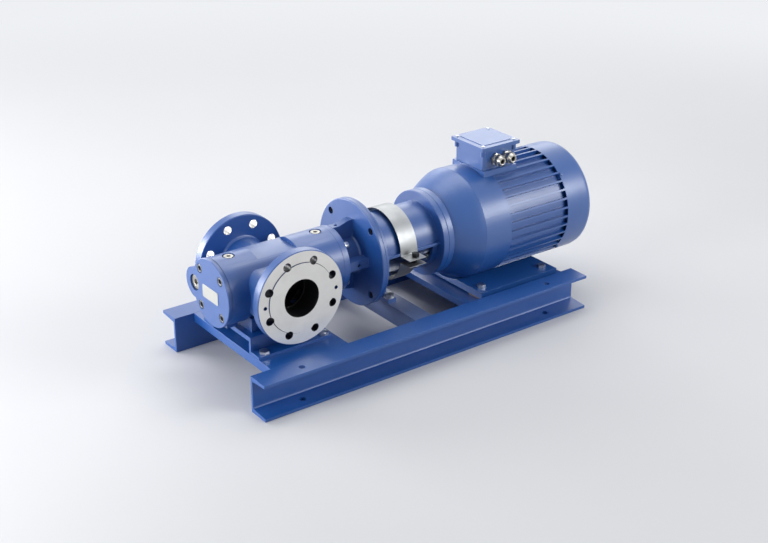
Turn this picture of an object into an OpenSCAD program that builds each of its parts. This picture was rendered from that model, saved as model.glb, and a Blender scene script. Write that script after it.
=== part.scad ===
// Three-spindle screw pump set: pump, coupling lantern and foot-mounted motor on a channel base.
// X runs along the shaft from the pump end to the motor end, Y across the base, Z up.
// Every piece is drawn from the left ends of the beams and then centred on the whole length.

/* [Base frame] */
// Length of the two channel beams
beam_length = 850; // [848:1:900]
// Height of the beams
beam_height = 80; // [76:1:90]
// Width of the beam flanges
beam_width = 51; // [48:1:56]
// Thickness of the beam web
beam_web = 6; // [5:0.5:8]
// Mean thickness of the beam flanges
beam_flange = 8; // [7:0.5:9]
// Clear width between the two webs
beam_gap = 304; // [296:2:320]
// Diameter of the holes that hold the set down
frame_hole_d = 14; // [12:1:16]
// Distance of those holes from the beam ends
frame_hole_inset = 101; // [90:1:110]
// Distance of those holes from the outer faces of the webs
frame_hole_line = 28; // [24:1:32]
// Thickness of the plate under the pump
pump_plate_t = 20; // [16:1:24]
// Length of the plate under the pump
pump_plate_l = 186; // [182:1:196]
// Width of the tube under the lantern
member_w = 44; // [40:1:48]
// Height of the tube under the lantern
member_h = 40; // [30:1:44]
// Wall of that tube
member_wall = 4; // [3:0.5:5]
// Thickness of the two bars under the motor
bar_t = 15; // [12:1:18]
// Width of the bars under the motor
bar_w = 104; // [98:1:106]
// How far the bars lie below the beam tops
bar_drop = 18; // [14:1:20]

/* [Pump] */
// Distance of the pump face from the left beam ends
cover_x = 5.6; // [4:0.2:8]
// Thickness of the end cover
cover_t = 18; // [17:0.5:20]
// Radius of the end cover rim
cover_r = 72; // [71.5:0.5:74]
// Outer radius of the pump barrel
barrel_r = 71; // [70:0.5:71.5]
// Radius of the barrel bore that holds the liner
liner_r = 49; // [48.5:0.25:49.5]
// Height of the machined flat above the shaft
flat_h = 62.5; // [60:0.5:65]
// Distance across to the relief valve axis
lobe_y = 64; // [63:0.5:66]
// Radius of the relief valve lobe
lobe_r = 33; // [31:0.5:34]
// Lift of the relief valve piston
relief_lift = 5; // [2:0.5:6]

/* [Pump ports] */
// Distance of the port axis from the pump face
port_offset = 134.4; // [133:0.2:136]
// Distance of each port face from the shaft
port_face = 125.5; // [123:0.5:128]
// Radius of the necks behind the port flanges
port_neck_r = 50; // [48:0.5:52]
// Half the length of the chest behind the front port
chest_w = 84; // [80:1:86]
// Half the height of that chest
chest_h = 50; // [46:0.5:52]
// Distance of its front from the shaft
chest_y = 88; // [84:1:90]
// Diameter of the port bores
port_bore = 81; // [76:0.5:82]
// Depth of the full bore in each port
port_bore_l = 50; // [46:1:54]
// Diameter of the port flanges
port_od = 200; // [196:1:204]
// Thickness of the port flanges
port_t = 23; // [20:1:25]
// Pitch circle of the port flange holes
port_pcd = 160; // [158:1:162]
// Diameter of the front port flange holes
port_hole_d = 18; // [17:0.5:19]
// Diameter of the rear port flange holes
rear_hole_d = 18.4; // [17.4:0.5:19.4]

/* [Screws] */
// Distance between the drive screw and each idler screw
screw_centre = 30; // [29:0.5:30]
// Lead of the screw threads
screw_lead = 100; // [90:5:120]
// Length of the threaded parts
thread_l = 168; // [150:6:174]
// Radius of the pump shaft at its bearing
shaft_r = 15; // [14:0.5:15]

/* [Lantern and coupling] */
// Thickness of the ring bolted to the barrel
ring_t = 15.5; // [14:0.5:17]
// Length of the neck behind that ring
neck_l = 48.4; // [47:0.2:52]
// Radius of the neck
neck_r = 42; // [40:0.5:44]
// Radius of the large flange
large_r = 117.5; // [115:0.5:120]
// Thickness of the large flange
large_t = 10; // [9:0.5:11]
// Length of the lantern from the large flange to the motor flange
lantern_l = 182.5; // [180:0.5:186]
// Outer radius of the lantern tube
tube_r = 72.5; // [71:0.5:73.5]
// Wall of the lantern tube
tube_wall = 7; // [5:0.5:8]
// Radius of the motor-side ring
motor_ring_r = 95.5; // [94:0.5:97]
// Radius of the coupling hubs
hub_r = 40; // [38:0.5:44]
// Width of the guard band
band_w = 44; // [36:1:48]

/* [Motor] */
// Height of the shaft above the motor feet
shaft_height = 132; // [130:0.5:134]
// Radius of the motor frame over its fins
motor_r = 125; // [123:0.5:126]
// Thickness of the motor foot slab
foot_t = 16; // [14:1:18]
// Distance across between the foot holes
foot_a = 216; // [212:1:220]
// Distance along between the foot holes
foot_b = 178; // [174:1:180]
// Length of the tapering drive-end shield
cone_l = 66; // [62:1:70]
// Length of the smooth part of the frame
smooth_l = 71; // [68:1:73]
// Length of the finned part of the frame
fin_l = 168; // [164:1:174]
// Number of cooling fins
fin_n = 38; // [30:1:40]
// Depth of the grooves between the fins
fin_depth = 9.5; // [8:0.5:11]
// Length of the fan cowl
cowl_l = 76; // [72:1:80]

/* [Hidden] */
$fn = 64;
eps = 0.01;
thread_gap = 0.05;
fit_gap = 0.05;
journal_gap = 0.1;
turn_gap = 0.3;
bolt_gap = 0.5;
shim_t = 3;

// Places along X
barrel_x = cover_x + cover_t;
barrel_l = thread_l + 90;
barrel_end = barrel_x + barrel_l;
ring_end = barrel_end + ring_t;
large_x = ring_end + neck_l;
lantern_x = large_x + large_t;
lantern_flange_t = 6.5;
tube_x = lantern_x + lantern_flange_t;
motor_x = lantern_x + lantern_l;
ring_w = 14;
cone_x = motor_x + 15;
frame_x = cone_x + cone_l;
fin_x = frame_x + smooth_l;
fin_end = fin_x + fin_l;
overall_l = fin_end + cowl_l;
port_x = cover_x + port_offset;
plate_x = port_x - 1 - pump_plate_l / 2;
member_x = tube_x + 42;
foot_x = motor_x + 83;
foot_slab_x = foot_x - 21;
foot_slab_l = foot_b + 44;

// Places along Z
bar_top = beam_height - bar_drop;
foot_z = bar_top + shim_t;
shaft_z = foot_z + shaft_height;
pump_foot_z = beam_height + 37;

// Screw set
tip_r = screw_centre * 5 / 6;
pitch_r = screw_centre / 2;
idler_root_r = screw_centre / 6;
rotor_gap = 0.2;
flank_gap = 0.3;
flank_steps = 4;
liner_x = barrel_x + 42.4;
liner_l = thread_l + 22;
thread_x = liner_x + 10;
thread_end = thread_x + thread_l;
bridge_t = 10;
drive_stub_r = 9;
idler_stub_r = 6;

// Drive side of the pump
seal_x = barrel_end + 26.5;
seal_r = 28;
bearing_x = ring_end + 27;
bearing_w = 16;
bearing_r = 31;
coupling_x = tube_x + 41;
hub_l = 46;
hub_gap = 22;
claw_l = 20;
motor_hub_x = coupling_x + hub_l + hub_gap;
shaft_end = coupling_x + hub_l - 2;
end_r = shaft_r - 1;

// Motor inside
motor_bearing_x = cone_x + 15;
motor_bearing_w = 18;
rear_bearing_x = fin_end - 8;
motor_shaft_r = 19;
core_x = frame_x + 41;
core_l = 140;
core_r = 100;
fan_x = fin_end + 22;

// Terminal box
box_x = fin_x - 23;
box_l = 90;
box_w = 90;
box_z = shaft_z + 126;
box_h = 46;
lid_over = 8.5;
lid_t = 8.5;
gland_x = [box_x + 36, box_x + 67];
gland_z = box_z + 21;

// Fixing patterns
cover_screw = 40;
large_pcd = 204;
motor_pcd = 115;
inner_flange_t = 10;
bracket_x = cover_x + 41.4;
bracket_l = 175;
bracket_mid = bracket_x + 90;
bracket_pitch = 142;
bracket_y = 97.5;
lantern_foot_y = 46;
lantern_foot_x = member_x + 10;
lantern_foot_t = 10;
relief_seat_x = barrel_x + 60;
relief_bore_r = 11;
plug_x = [barrel_x + 26.4, barrel_end - 24.6];

// Node to draw, or all of them

// Solid of revolution about the shaft, from points of radius and X
module turned(points) {
    translate([0, 0, shaft_z])
        rotate([0, 90, 0])
            rotate_extrude()
                polygon(points);
}

// Cylinder along X, at dy and dz from the shaft
module along_x(x0, x1, r, dy = 0, dz = 0) {
    translate([x0, dy, shaft_z + dz])
        rotate([0, 90, 0])
            cylinder(r = r, h = x1 - x0);
}

// Cylinder along Y, at x and dz from the shaft
module along_y(x, y0, y1, r, dz = 0) {
    translate([x, y0, shaft_z + dz])
        rotate([-90, 0, 0])
            cylinder(r = r, h = y1 - y0);
}

// Box between two corners
module block(x0, x1, y0, y1, z0, z1) {
    translate([x0, y0, z0])
        cube([x1 - x0, y1 - y0, z1 - z0]);
}

// Children repeated at n places on a circle about the shaft
module around(n, first = 0) {
    for (i = [0 : n - 1])
        translate([0, 0, shaft_z])
            rotate([first + i * 360 / n, 0, 0])
                translate([0, 0, -shaft_z])
                    children();
}

// Hexagonal prism standing on z = 0
module hexagon(across, h) {
    intersection_for(i = [0 : 2])
        rotate([0, 0, i * 60])
            translate([-across / 2, -across, 0])
                cube([across, across * 2, h]);
}

// Hexagon bolt with its head on z = 0 and its shank below, with a nut if one is asked for
module hex_bolt(r, across, head, grip, nut = 0) {
    hexagon(across, head);
    translate([0, 0, -0.01])
        cylinder(r = across * 0.46, h = head + 0.7);
    translate([0, 0, -grip])
        cylinder(r = r, h = grip + 1);
    if (nut > 0)
        translate([0, 0, -nut - head])
            hexagon(across, head);
}

// Socket screw along +X with the top of its head at x0
module cap_screw_x(x0, r, head_r, head, l, across) {
    translate([x0, 0, shaft_z])
        rotate([0, 90, 0])
            difference() {
                union() {
                    cylinder(r = head_r, h = head);
                    translate([0, 0, head - 1])
                        cylinder(r = r - thread_gap, h = l + 1);
                }
                translate([0, 0, -1])
                    hexagon(across, head * 0.55 + 1);
            }
}

// Places of the four screws at the corners of a square about the shaft
module at_square(half) {
    for (sy = [-1, 1])
        for (sz = [-1, 1])
            translate([0, sy * half, sz * half])
                children();
}

// One beam on the rear side
module beam() {
    y = beam_gap / 2;
    y1 = y + beam_width;
    difference() {
        rotate([90, 0, 90])
            linear_extrude(beam_length)
                polygon([
                    [y, 0], [y1, 0], [y1, beam_flange - 1.8], [y + beam_web, beam_flange + 1.8],
                    [y + beam_web, beam_height - beam_flange - 1.8], [y1, beam_height - beam_flange + 1.8],
                    [y1, beam_height], [y, beam_height]
                ]);
        for (x = [frame_hole_inset, beam_length - frame_hole_inset])
            translate([x, beam_gap / 2 + frame_hole_line, -1])
                cylinder(d = frame_hole_d, h = beam_height + 2);
    }
}

module front_beam() {
    color("#2f62a8")
        mirror([0, 1, 0])
            beam();
}

module rear_beam() {
    color("#2f62a8")
        beam();
}

// Places of the bolts through the pump foot bracket
module at_bracket_bolts() {
    for (x = [bracket_mid - bracket_pitch / 2, bracket_mid + bracket_pitch / 2])
        for (s = [-1, 1])
            translate([x, s * bracket_y, 0])
                children();
}

module pump_cross_plate() {
    color("#2f62a8")
        difference() {
            block(plate_x, plate_x + pump_plate_l, -beam_gap / 2, beam_gap / 2,
                beam_height - pump_plate_t, beam_height);
            at_bracket_bolts()
                translate([0, 0, beam_height - pump_plate_t - 1])
                    cylinder(r = 6 + bolt_gap, h = pump_plate_t + 2);
        }
}

// Places of the bolts through the lantern foot
module at_lantern_foot() {
    for (s = [-1, 1])
        translate([lantern_foot_x, s * lantern_foot_y, beam_height])
            children();
}

module middle_cross_member() {
    color("#8f9bb0")
        difference() {
            block(member_x, member_x + member_w, -beam_gap / 2, beam_gap / 2,
                beam_height - member_h, beam_height);
            block(member_x + member_wall, member_x + member_w - member_wall,
                -beam_gap / 2 - 1, beam_gap / 2 + 1,
                beam_height - member_h + member_wall, beam_height - member_wall);
            at_lantern_foot()
                translate([0, 0, -member_wall - 1])
                    cylinder(r = 6, h = member_wall + 2);
        }
}

// One bar under the motor, with the holes for two foot bolts
module motor_bar(x) {
    difference() {
        block(x - 5 - bar_w / 2, x - 5 + bar_w / 2, -beam_gap / 2, beam_gap / 2,
            bar_top - bar_t, bar_top);
        for (s = [-1, 1])
            translate([x, s * foot_a / 2, bar_top - bar_t - 1])
                cylinder(r = 5 + bolt_gap, h = bar_t + 2);
    }
}

module motor_cross_bars() {
    color("#2f62a8") {
        motor_bar(foot_x);
        motor_bar(foot_x + foot_b);
    }
}

// Places of the screws that hold the pump down on its bracket
module at_pump_foot() {
    for (x = [port_x - 52, port_x + 60])
        for (s = [-1, 1])
            translate([x, s * 36, pump_foot_z])
                children();
}

module pump_foot_bracket() {
    color("#2f62a8")
        difference() {
            block(bracket_x, bracket_x + bracket_l, -109, 109, beam_height, pump_foot_z);
            block(bracket_x - 1, bracket_x + bracket_l + 1, -71, 71, beam_height - 1, pump_foot_z - 10);
            for (s = [-1, 1])
                translate([0, s * 100, 0])
                    block(bracket_x - 1, bracket_x + bracket_l + 1, -22, 22,
                        beam_height + 6, pump_foot_z + 1);
            at_bracket_bolts()
                translate([0, 0, beam_height - 1])
                    cylinder(r = 6 + bolt_gap, h = 12);
            at_pump_foot()
                translate([0, 0, -11])
                    cylinder(r = 6 + bolt_gap, h = 12);
        }
}

module pump_foot_bolts() {
    color("#c9ccd0")
        at_bracket_bolts()
            translate([0, 0, beam_height + 6])
                hex_bolt(6, 19, 5.5, pump_plate_t + 6 + 14, pump_plate_t + 6);
}

module pump_foot_screws() {
    color("#c9ccd0")
        at_pump_foot()
            translate([0, 0, -10])
                mirror([0, 0, 1])
                    difference() {
                        union() {
                            cylinder(r = 9, h = 12);
                            translate([0, 0, -24])
                                cylinder(r = 6 - thread_gap, h = 25);
                        }
                        translate([0, 0, 6])
                            hexagon(10, 7);
                    }
}

// Outer form of one branch with its flange, on the rear side
module branch() {
    back = port_face - port_t;
    translate([port_x, 0, shaft_z])
        rotate([-90, 0, 0])
            rotate_extrude()
                polygon([
                    [0, 40], [port_neck_r, 40], [port_neck_r, back - 8], [port_neck_r + 0.8, back - 4.6],
                    [port_neck_r + 2.6, back - 2], [port_neck_r + 6, back],
                    [port_od / 2 - 1.5, back], [port_od / 2, back + 1.5], [port_od / 2, port_face - 3.5],
                    [port_od / 2 - 1.5, port_face - 2], [74.5, port_face - 2], [74.5, port_face],
                    [0, port_face]
                ]);
}

// Rounded chest of the casting behind the front port
module front_chest() {
    r = 28;
    block(port_x - chest_w, port_x + chest_w, -chest_y, -40, shaft_z - chest_h + r,
        shaft_z + chest_h - r);
    block(port_x - chest_w + r, port_x + chest_w - r, -chest_y, -40, shaft_z - chest_h,
        shaft_z + chest_h);
    for (sx = [-1, 1])
        for (sz = [-1, 1])
            along_y(port_x + sx * (chest_w - r), -chest_y, -40, r, sz * (chest_h - r));
}

module pump_housing() {
    color("#3166ad")
        difference() {
            union() {
                along_x(barrel_x, barrel_end, barrel_r);
                branch();
                mirror([0, 1, 0])
                    branch();
                block(bracket_x + 15, bracket_x + bracket_l - 9, -60, 60, pump_foot_z, shaft_z - 50);
                block(barrel_x, barrel_x + 23, -28, 28, shaft_z - barrel_r - 1.5, shaft_z - 50);
                front_chest();
                along_x(barrel_x, port_x - 20, lobe_r - 2, lobe_y);
                block(barrel_x, port_x - 20, 20, lobe_y, shaft_z - lobe_r + 2, shaft_z + lobe_r - 2);
            }
            along_x(barrel_x - 1, barrel_end + 1, liner_r);
            block(port_x - 43, port_x + 51, -36, 36, shaft_z + flat_h, shaft_z + barrel_r + 1);
            along_y(port_x, -port_face - 1, -port_face + port_bore_l, port_bore / 2);
            along_y(port_x, port_face - port_bore_l, port_face + 1, port_bore / 2);
            along_y(port_x, -port_face + 20, -20, port_bore / 2 - 2.5);
            along_y(port_x, 20, port_face - 20, port_bore / 2 - 2.5);
            block(bracket_x + 28, bracket_x + bracket_l - 25, -22, 22, pump_foot_z - 1, pump_foot_z + 16);
            for (s = [-1, 1]) {
                translate([port_x, 0, shaft_z])
                    for (a = [22.5 : 45 : 359])
                        rotate([0, a, 0])
                            translate([port_pcd / 2, s * (port_face - port_t / 2), 0])
                                rotate([90, 0, 0])
                                    cylinder(d = s < 0 ? port_hole_d : rear_hole_d, h = port_t + 4,
                                        center = true);
                for (g = [-1, 1])
                    translate([port_x + g * 83.3, s * (port_face + 1), shaft_z])
                        rotate([s * 90, 0, 0])
                            cylinder(r = 4, h = 14);
            }
            block(port_x - chest_w + 14, port_x + chest_w - 14, -chest_y + 15, -60,
                shaft_z - chest_h + 14, shaft_z + chest_h - 14);
            intersection() {
                along_x(barrel_x + 14, port_x + port_bore / 2, 62);
                block(barrel_x, port_x + 60, -70, -10, shaft_z - 30, shaft_z + 30);
            }
            intersection() {
                along_x(port_x - port_bore / 2, barrel_end - 10, 62);
                block(port_x - 60, barrel_end, 10, 70, shaft_z - 30, shaft_z + 30);
            }
            block(barrel_x + 14, relief_seat_x - 4, 30, lobe_y - 8, shaft_z - 6, shaft_z + 6);
            along_x(barrel_x - 1, barrel_x + 14.4, 13, lobe_y);
            along_x(barrel_x - 1, relief_seat_x, relief_bore_r, lobe_y);
            along_x(relief_seat_x - 1, port_x, 8, lobe_y);
            at_square(cover_screw)
                along_x(barrel_x - 1, barrel_x + 24, 6);
            at_square(cover_screw)
                along_x(barrel_end - 24, barrel_end + 1, 6);
            for (x = plug_x) {
                translate([x, 0, shaft_z + 40])
                    cylinder(r = 10.5, h = 40);
                translate([x, 0, shaft_z + barrel_r - 5])
                    cylinder(r = 13.2, h = 11);
            }
            at_pump_foot()
                translate([0, 0, -1])
                    cylinder(r = 6, h = 16);
        }
}

module screw_liner() {
    color("#b08d57")
        difference() {
            along_x(liner_x, liner_x + liner_l, liner_r - fit_gap);
            along_x(liner_x - 1, liner_x + liner_l + 1, tip_r + 0.1);
            for (s = [-1, 1])
                along_x(liner_x - 1, liner_x + liner_l + 1, pitch_r + 0.1, s * screw_centre);
        }
}

module thrust_bridge() {
    color("#b08d57")
        difference() {
            intersection() {
                along_x(liner_x - bridge_t, liner_x, liner_r - fit_gap);
                block(liner_x - bridge_t - 1, liner_x + 1, -60, 60, shaft_z - 14, shaft_z + 14);
            }
            along_x(liner_x - bridge_t - 1, liner_x + 1, drive_stub_r + journal_gap);
            for (s = [-1, 1])
                along_x(liner_x - bridge_t - 1, liner_x + 1, idler_stub_r + journal_gap, s * screw_centre);
        }
}

module end_cover() {
    color("#3166ad")
        difference() {
            union() {
                turned([
                    [0, cover_x], [cover_r - 1.2, cover_x], [cover_r, cover_x + 1.2],
                    [cover_r, cover_x + 6], [barrel_r - 0.8, cover_x + 6], [barrel_r - 0.8, cover_x + 10],
                    [barrel_r, cover_x + 10], [barrel_r, barrel_x], [liner_r - fit_gap, barrel_x],
                    [liner_r - fit_gap, barrel_x + 2.4], [liner_r - 3.5, barrel_x + 2.4],
                    [liner_r - 3.5, barrel_x + 6.2], [liner_r - fit_gap, barrel_x + 6.2],
                    [liner_r - fit_gap, barrel_x + 8.4], [0, barrel_x + 8.4]
                ]);
                along_x(cover_x, cover_x + 6, lobe_r, lobe_y);
                along_x(cover_x + 6, barrel_x, lobe_r - 2, lobe_y);
                block(cover_x, cover_x + 6, 30, lobe_y, shaft_z - lobe_r, shaft_z + lobe_r);
                block(cover_x + 6, barrel_x, 30, lobe_y, shaft_z - lobe_r + 2, shaft_z + lobe_r - 2);
            }
            at_square(cover_screw) {
                along_x(cover_x - 1, cover_x + 12, 10);
                along_x(cover_x, barrel_x + 1, 6 + bolt_gap);
            }
            along_x(cover_x - 1, cover_x + 12, 17.5, lobe_y);
            along_x(cover_x, barrel_x + 1, 13, lobe_y);
        }
}

module barrel_o_rings() {
    color("#202124")
        for (x = [barrel_x + 4.3, barrel_end - 5.3])
            translate([x, 0, shaft_z])
                rotate([0, 90, 0])
                    rotate_extrude()
                        translate([liner_r - 1.75, 0])
                            circle(r = 1.75);
}

module end_cover_screws() {
    color("#c9ccd0")
        at_square(cover_screw)
            cap_screw_x(cover_x, 6, 9, 12, 26, 10);
}

module nameplate() {
    color("#e9e8e0")
        block(cover_x - 1, cover_x, -30, 30, shaft_z - 17, shaft_z + 11);
}

module relief_valve_plug() {
    color("#d2d0c6")
        difference() {
            union() {
                along_x(cover_x + 3, cover_x + 12, 16, lobe_y);
                along_x(cover_x + 11, barrel_x + 14.4, 13 - thread_gap, lobe_y);
            }
            translate([cover_x + 2, lobe_y, shaft_z])
                rotate([0, 90, 0])
                    hexagon(12, 9);
        }
}

// Points of one turn of the spring wire
function ring_points(r, wire, a, pitch) = [
    for (i = [0 : 7]) [
        (r + wire * cos(i * 45)) * cos(a), (r + wire * cos(i * 45)) * sin(a),
        pitch * a / 360 + wire * sin(i * 45)
    ]
];

module relief_valve_spring() {
    wire = 1.25;
    r = 6.2;
    l = relief_seat_x - 4.6 - relief_lift - barrel_x - 14.4;
    turns = 6;
    steps = turns * 14;
    pitch = (l - 2 * wire) / turns;
    points = [for (k = [0 : steps]) for (p = ring_points(r, wire, k * 360 / 14, pitch)) p];
    sides = [
        for (k = [0 : steps - 1])
            for (i = [0 : 7])
                [k * 8 + i, k * 8 + (i + 1) % 8, (k + 1) * 8 + (i + 1) % 8, (k + 1) * 8 + i]
    ];
    ends = [[7, 6, 5, 4, 3, 2, 1, 0], [for (i = [0 : 7]) steps * 8 + i]];
    color("#8a8f96")
        translate([barrel_x + 14.4, lobe_y, shaft_z])
            rotate([0, 90, 0])
                union() {
                    translate([0, 0, wire])
                        polyhedron(points = points, faces = concat(ends, sides));
                    for (z = [wire, l - wire])
                        translate([0, 0, z])
                            rotate_extrude()
                                translate([r, 0])
                                    circle(r = wire);
                }
}

module relief_valve_piston() {
    color("#9da3a8")
        difference() {
            along_x(relief_seat_x - 24, relief_seat_x - 0.1, relief_bore_r - turn_gap, lobe_y);
            along_x(relief_seat_x - 25, relief_seat_x - 4, 8.4, lobe_y);
        }
}

module top_plugs() {
    color("#d9d8d2")
        for (x = plug_x)
            difference() {
                translate([x, 0, shaft_z + liner_r + 2])
                    cylinder(r = 10.5 - thread_gap, h = barrel_r - liner_r - 3);
                translate([x, 0, shaft_z + barrel_r - 8])
                    hexagon(8, 20);
            }
}

// Flank of the drive screw as radius and angle
function drive_flank(i) =
    let (t = acos(5 / 9) * i / flank_steps,
        x = screw_centre * cos(t) - pitch_r * cos(2 * t),
        y = screw_centre * sin(t) - pitch_r * sin(2 * t))
    [norm([x, y]), atan2(y, x)];

// Flank of an idler screw as radius and angle
function idler_flank(i) =
    let (t = acos((screw_centre * screw_centre + tip_r * tip_r - pitch_r * pitch_r)
            / (2 * screw_centre * tip_r)) * i / flank_steps,
        x = screw_centre * cos(t) - tip_r * cos(2 * t),
        y = abs(screw_centre * sin(t) - tip_r * sin(2 * t)))
    [norm([x, y]), atan2(y, x)];

// Outline of one lobe as pairs of radius and angle, from root to root
function lobe(flank, tip, root, half, rest, n) = concat(
    [[root, -90], [root, -90 + rest / 2]],
    [for (f = flank) [f[0], -90 + rest + f[1] + flank_gap * 180 / PI / f[0]]],
    [for (i = [1 : n - 1]) [tip, -half + 2 * half * i / n]],
    [for (i = [flank_steps : -1 : 0])
        [flank[i][0], 90 - rest - flank[i][1] - flank_gap * 180 / PI / flank[i][0]]],
    [[root, 90 - rest / 2]]
);

// Closed section of a screw with two lobes
function section(outline) = [
    for (s = [0, 180])
        for (p = outline)
            [(p[0] - rotor_gap) * cos(p[1] + s), (p[0] - rotor_gap) * sin(p[1] + s)]
];

tooth_half = (90 - drive_flank(flank_steps)[1]) / 2;
drive_outline = lobe([for (i = [0 : flank_steps]) drive_flank(i)], tip_r, pitch_r, tooth_half,
    tooth_half, 5);
idler_outline = lobe([for (i = [0 : flank_steps]) idler_flank(i)], pitch_r, idler_root_r, tooth_half,
    tooth_half, 3);

// Threaded part of a screw, turned by the start angle and with the given hand
module thread(outline, start, hand) {
    translate([thread_x, 0, shaft_z])
        rotate([0, 90, 0])
            rotate([0, 0, start])
                linear_extrude(height = thread_l, twist = hand * thread_l / screw_lead * 360,
                    slices = round(thread_l / screw_lead * 34), $fn = 12)
                    polygon(section(outline));
}

module drive_screw() {
    color("#b9bec4")
        union() {
            thread(drive_outline, 90, 1);
            along_x(liner_x - bridge_t - 2, thread_x + 1, drive_stub_r);
            along_x(liner_x + turn_gap, thread_x + 0.2, pitch_r - 1);
            along_x(thread_end - 1, large_x + 6, shaft_r);
            along_x(large_x + 5, shaft_end, end_r);
            block(coupling_x + 6, shaft_end - 4, -4, 4, shaft_z + end_r - 4, shaft_z + end_r + 3);
        }
}

// One idler screw, turned to mesh with the drive screw
module idler(start) {
    thread(idler_outline, start, -1);
    along_x(liner_x - bridge_t - 2, liner_x + 1, idler_stub_r);
    along_x(liner_x + turn_gap, thread_x, pitch_r - 4);
    along_x(thread_x - 1, thread_x + 1, idler_root_r - 0.6);
}

module idler_screw_front() {
    color("#a3a8ae")
        translate([0, -screw_centre, 0])
            idler(0);
}

module idler_screw_rear() {
    color("#a3a8ae")
        translate([0, screw_centre, 0])
            idler(0);
}

// One rib of the drive bracket pointing up, h high at the large flange
module rib(h, start, half) {
    translate([0, half, shaft_z])
        rotate([90, 0, 0])
            linear_extrude(2 * half)
                polygon([
                    [ring_end - 2, 20], [large_x + 1, 20], [large_x + 1, h], [large_x - 4, h],
                    [large_x - 14, h - 1.5], [large_x - 26, start + (h - start) * 0.35],
                    [large_x - 36, start], [ring_end - 2, start]
                ]);
}

module drive_bracket() {
    color("#3166ad")
        difference() {
            union() {
                turned([
                    [0, barrel_end - 9.5], [liner_r - fit_gap, barrel_end - 9.5],
                    [liner_r - fit_gap, barrel_end - 7.2], [liner_r - 3.5, barrel_end - 7.2],
                    [liner_r - 3.5, barrel_end - 3.4], [liner_r - fit_gap, barrel_end - 3.4],
                    [liner_r - fit_gap, barrel_end], [barrel_r - 0.7, barrel_end],
                    [barrel_r, barrel_end + 0.7], [barrel_r, ring_end - 1], [barrel_r - 1, ring_end],
                    [neck_r, ring_end], [neck_r, large_x - 7], [neck_r + 2, large_x - 2],
                    [neck_r + 7, large_x], [large_r - 1.5, large_x], [large_r, large_x + 1.5],
                    [large_r, lantern_x - 0.5], [large_r - 0.5, lantern_x], [0, lantern_x]
                ]);
                rib(79.5, barrel_r + 0.5, 9.5);
                around(1, 180)
                    rib(79.5, barrel_r + 0.5, 9.5);
                around(1, 90)
                    rib(67, 66, 10);
                around(1, 270)
                    rib(67, 66, 10);
            }
            along_x(barrel_end - 11, seal_x + 8, seal_r);
            along_x(seal_x, bearing_x + 1, shaft_r + 2);
            along_x(bearing_x, lantern_x + 1, bearing_r);
            along_x(bearing_x + bearing_w, bearing_x + bearing_w + 1.6, bearing_r + 1.5);
            at_square(cover_screw)
                along_x(barrel_end - 1, ring_end + 1, 6 + bolt_gap);
            around(4, 45)
                along_x(large_x - 1, large_x + 6.5, 8, 0, large_pcd / 2);
            around(4, 45)
                along_x(large_x, lantern_x + 1, 4 + bolt_gap, 0, large_pcd / 2);
            translate([ring_end + 11, 0, shaft_z + barrel_r - 11])
                cylinder(r = 3.4, h = 20);
            translate([ring_end + 24, -60, shaft_z])
                rotate([90, 0, 0])
                    cylinder(r = 3.4, h = 20);
        }
}

module drive_bracket_screws() {
    color("#c9ccd0")
        at_square(cover_screw)
            translate([2 * (ring_end + 12), 0, 0])
                mirror([1, 0, 0])
                    cap_screw_x(ring_end + 12, 6, 9, 12, ring_t + 20, 10);
}

module shaft_seal_seat() {
    color("#4a4d52")
        turned([
            [shaft_r + 2, seal_x], [seal_r, seal_x], [seal_r, seal_x + 8], [shaft_r + 2, seal_x + 8]
        ]);
}

module shaft_seal_head() {
    color("#a9adb2")
        turned([
            [shaft_r, seal_x - 24], [22, seal_x - 24], [22, seal_x - 14], [24, seal_x - 14],
            [24, seal_x - 5], [22.5, seal_x - 5], [22.5, seal_x - 0.2], [shaft_r, seal_x - 0.2]
        ]);
}

// Outer race of a ball bearing starting at x
module outer_race(x, w, bore, od) {
    ball = (od - bore) * 0.28;
    mid = (od + bore) / 2;
    difference() {
        turned([[mid + ball * 0.55, x], [od, x], [od, x + w], [mid + ball * 0.55, x + w]]);
        translate([x + w / 2, 0, shaft_z])
            rotate([0, 90, 0])
                rotate_extrude()
                    translate([mid, 0])
                        circle(r = ball + turn_gap);
    }
}

// Inner race of a ball bearing starting at x, with its cage and balls
module inner_race(x, w, bore, od) {
    ball = (od - bore) * 0.28;
    mid = (od + bore) / 2;
    turned([[bore, x], [mid - ball * 0.55, x], [mid - ball * 0.55, x + w], [bore, x + w]]);
    turned([
        [mid - ball * 0.6, x + w / 2 - 2], [mid + ball * 0.3, x + w / 2 - 2],
        [mid + ball * 0.3, x + w / 2 + 2], [mid - ball * 0.6, x + w / 2 + 2]
    ]);
    around(9)
        translate([x + w / 2, 0, shaft_z + mid])
            sphere(r = ball);
}

module pump_bearing_outer() {
    color("#c4c8cc")
        outer_race(bearing_x, bearing_w, shaft_r, bearing_r);
}

module pump_bearing_inner() {
    color("#d4d7da")
        inner_race(bearing_x, bearing_w, shaft_r, bearing_r);
}

module pump_bearing_clip() {
    color("#6d7176")
        turned([
            [bearing_r - 3, bearing_x + bearing_w], [bearing_r + 1.5, bearing_x + bearing_w],
            [bearing_r + 1.5, bearing_x + bearing_w + 1.6], [bearing_r - 3, bearing_x + bearing_w + 1.6]
        ]);
}

// Sector of a ring from x0 to x1, half degrees each way about straight up
module ring_sector(x0, x1, r0, r1, half) {
    intersection() {
        turned([[r0, x0], [r1, x0], [r1, x1], [r0, x1]]);
        translate([x0 - 1, 0, shaft_z])
            rotate([90, 0, 90])
                linear_extrude(x1 - x0 + 2)
                    polygon([[0, 0], [60 * sin(half), 60 * cos(half)], [-60 * sin(half), 60 * cos(half)]]);
    }
}

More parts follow.
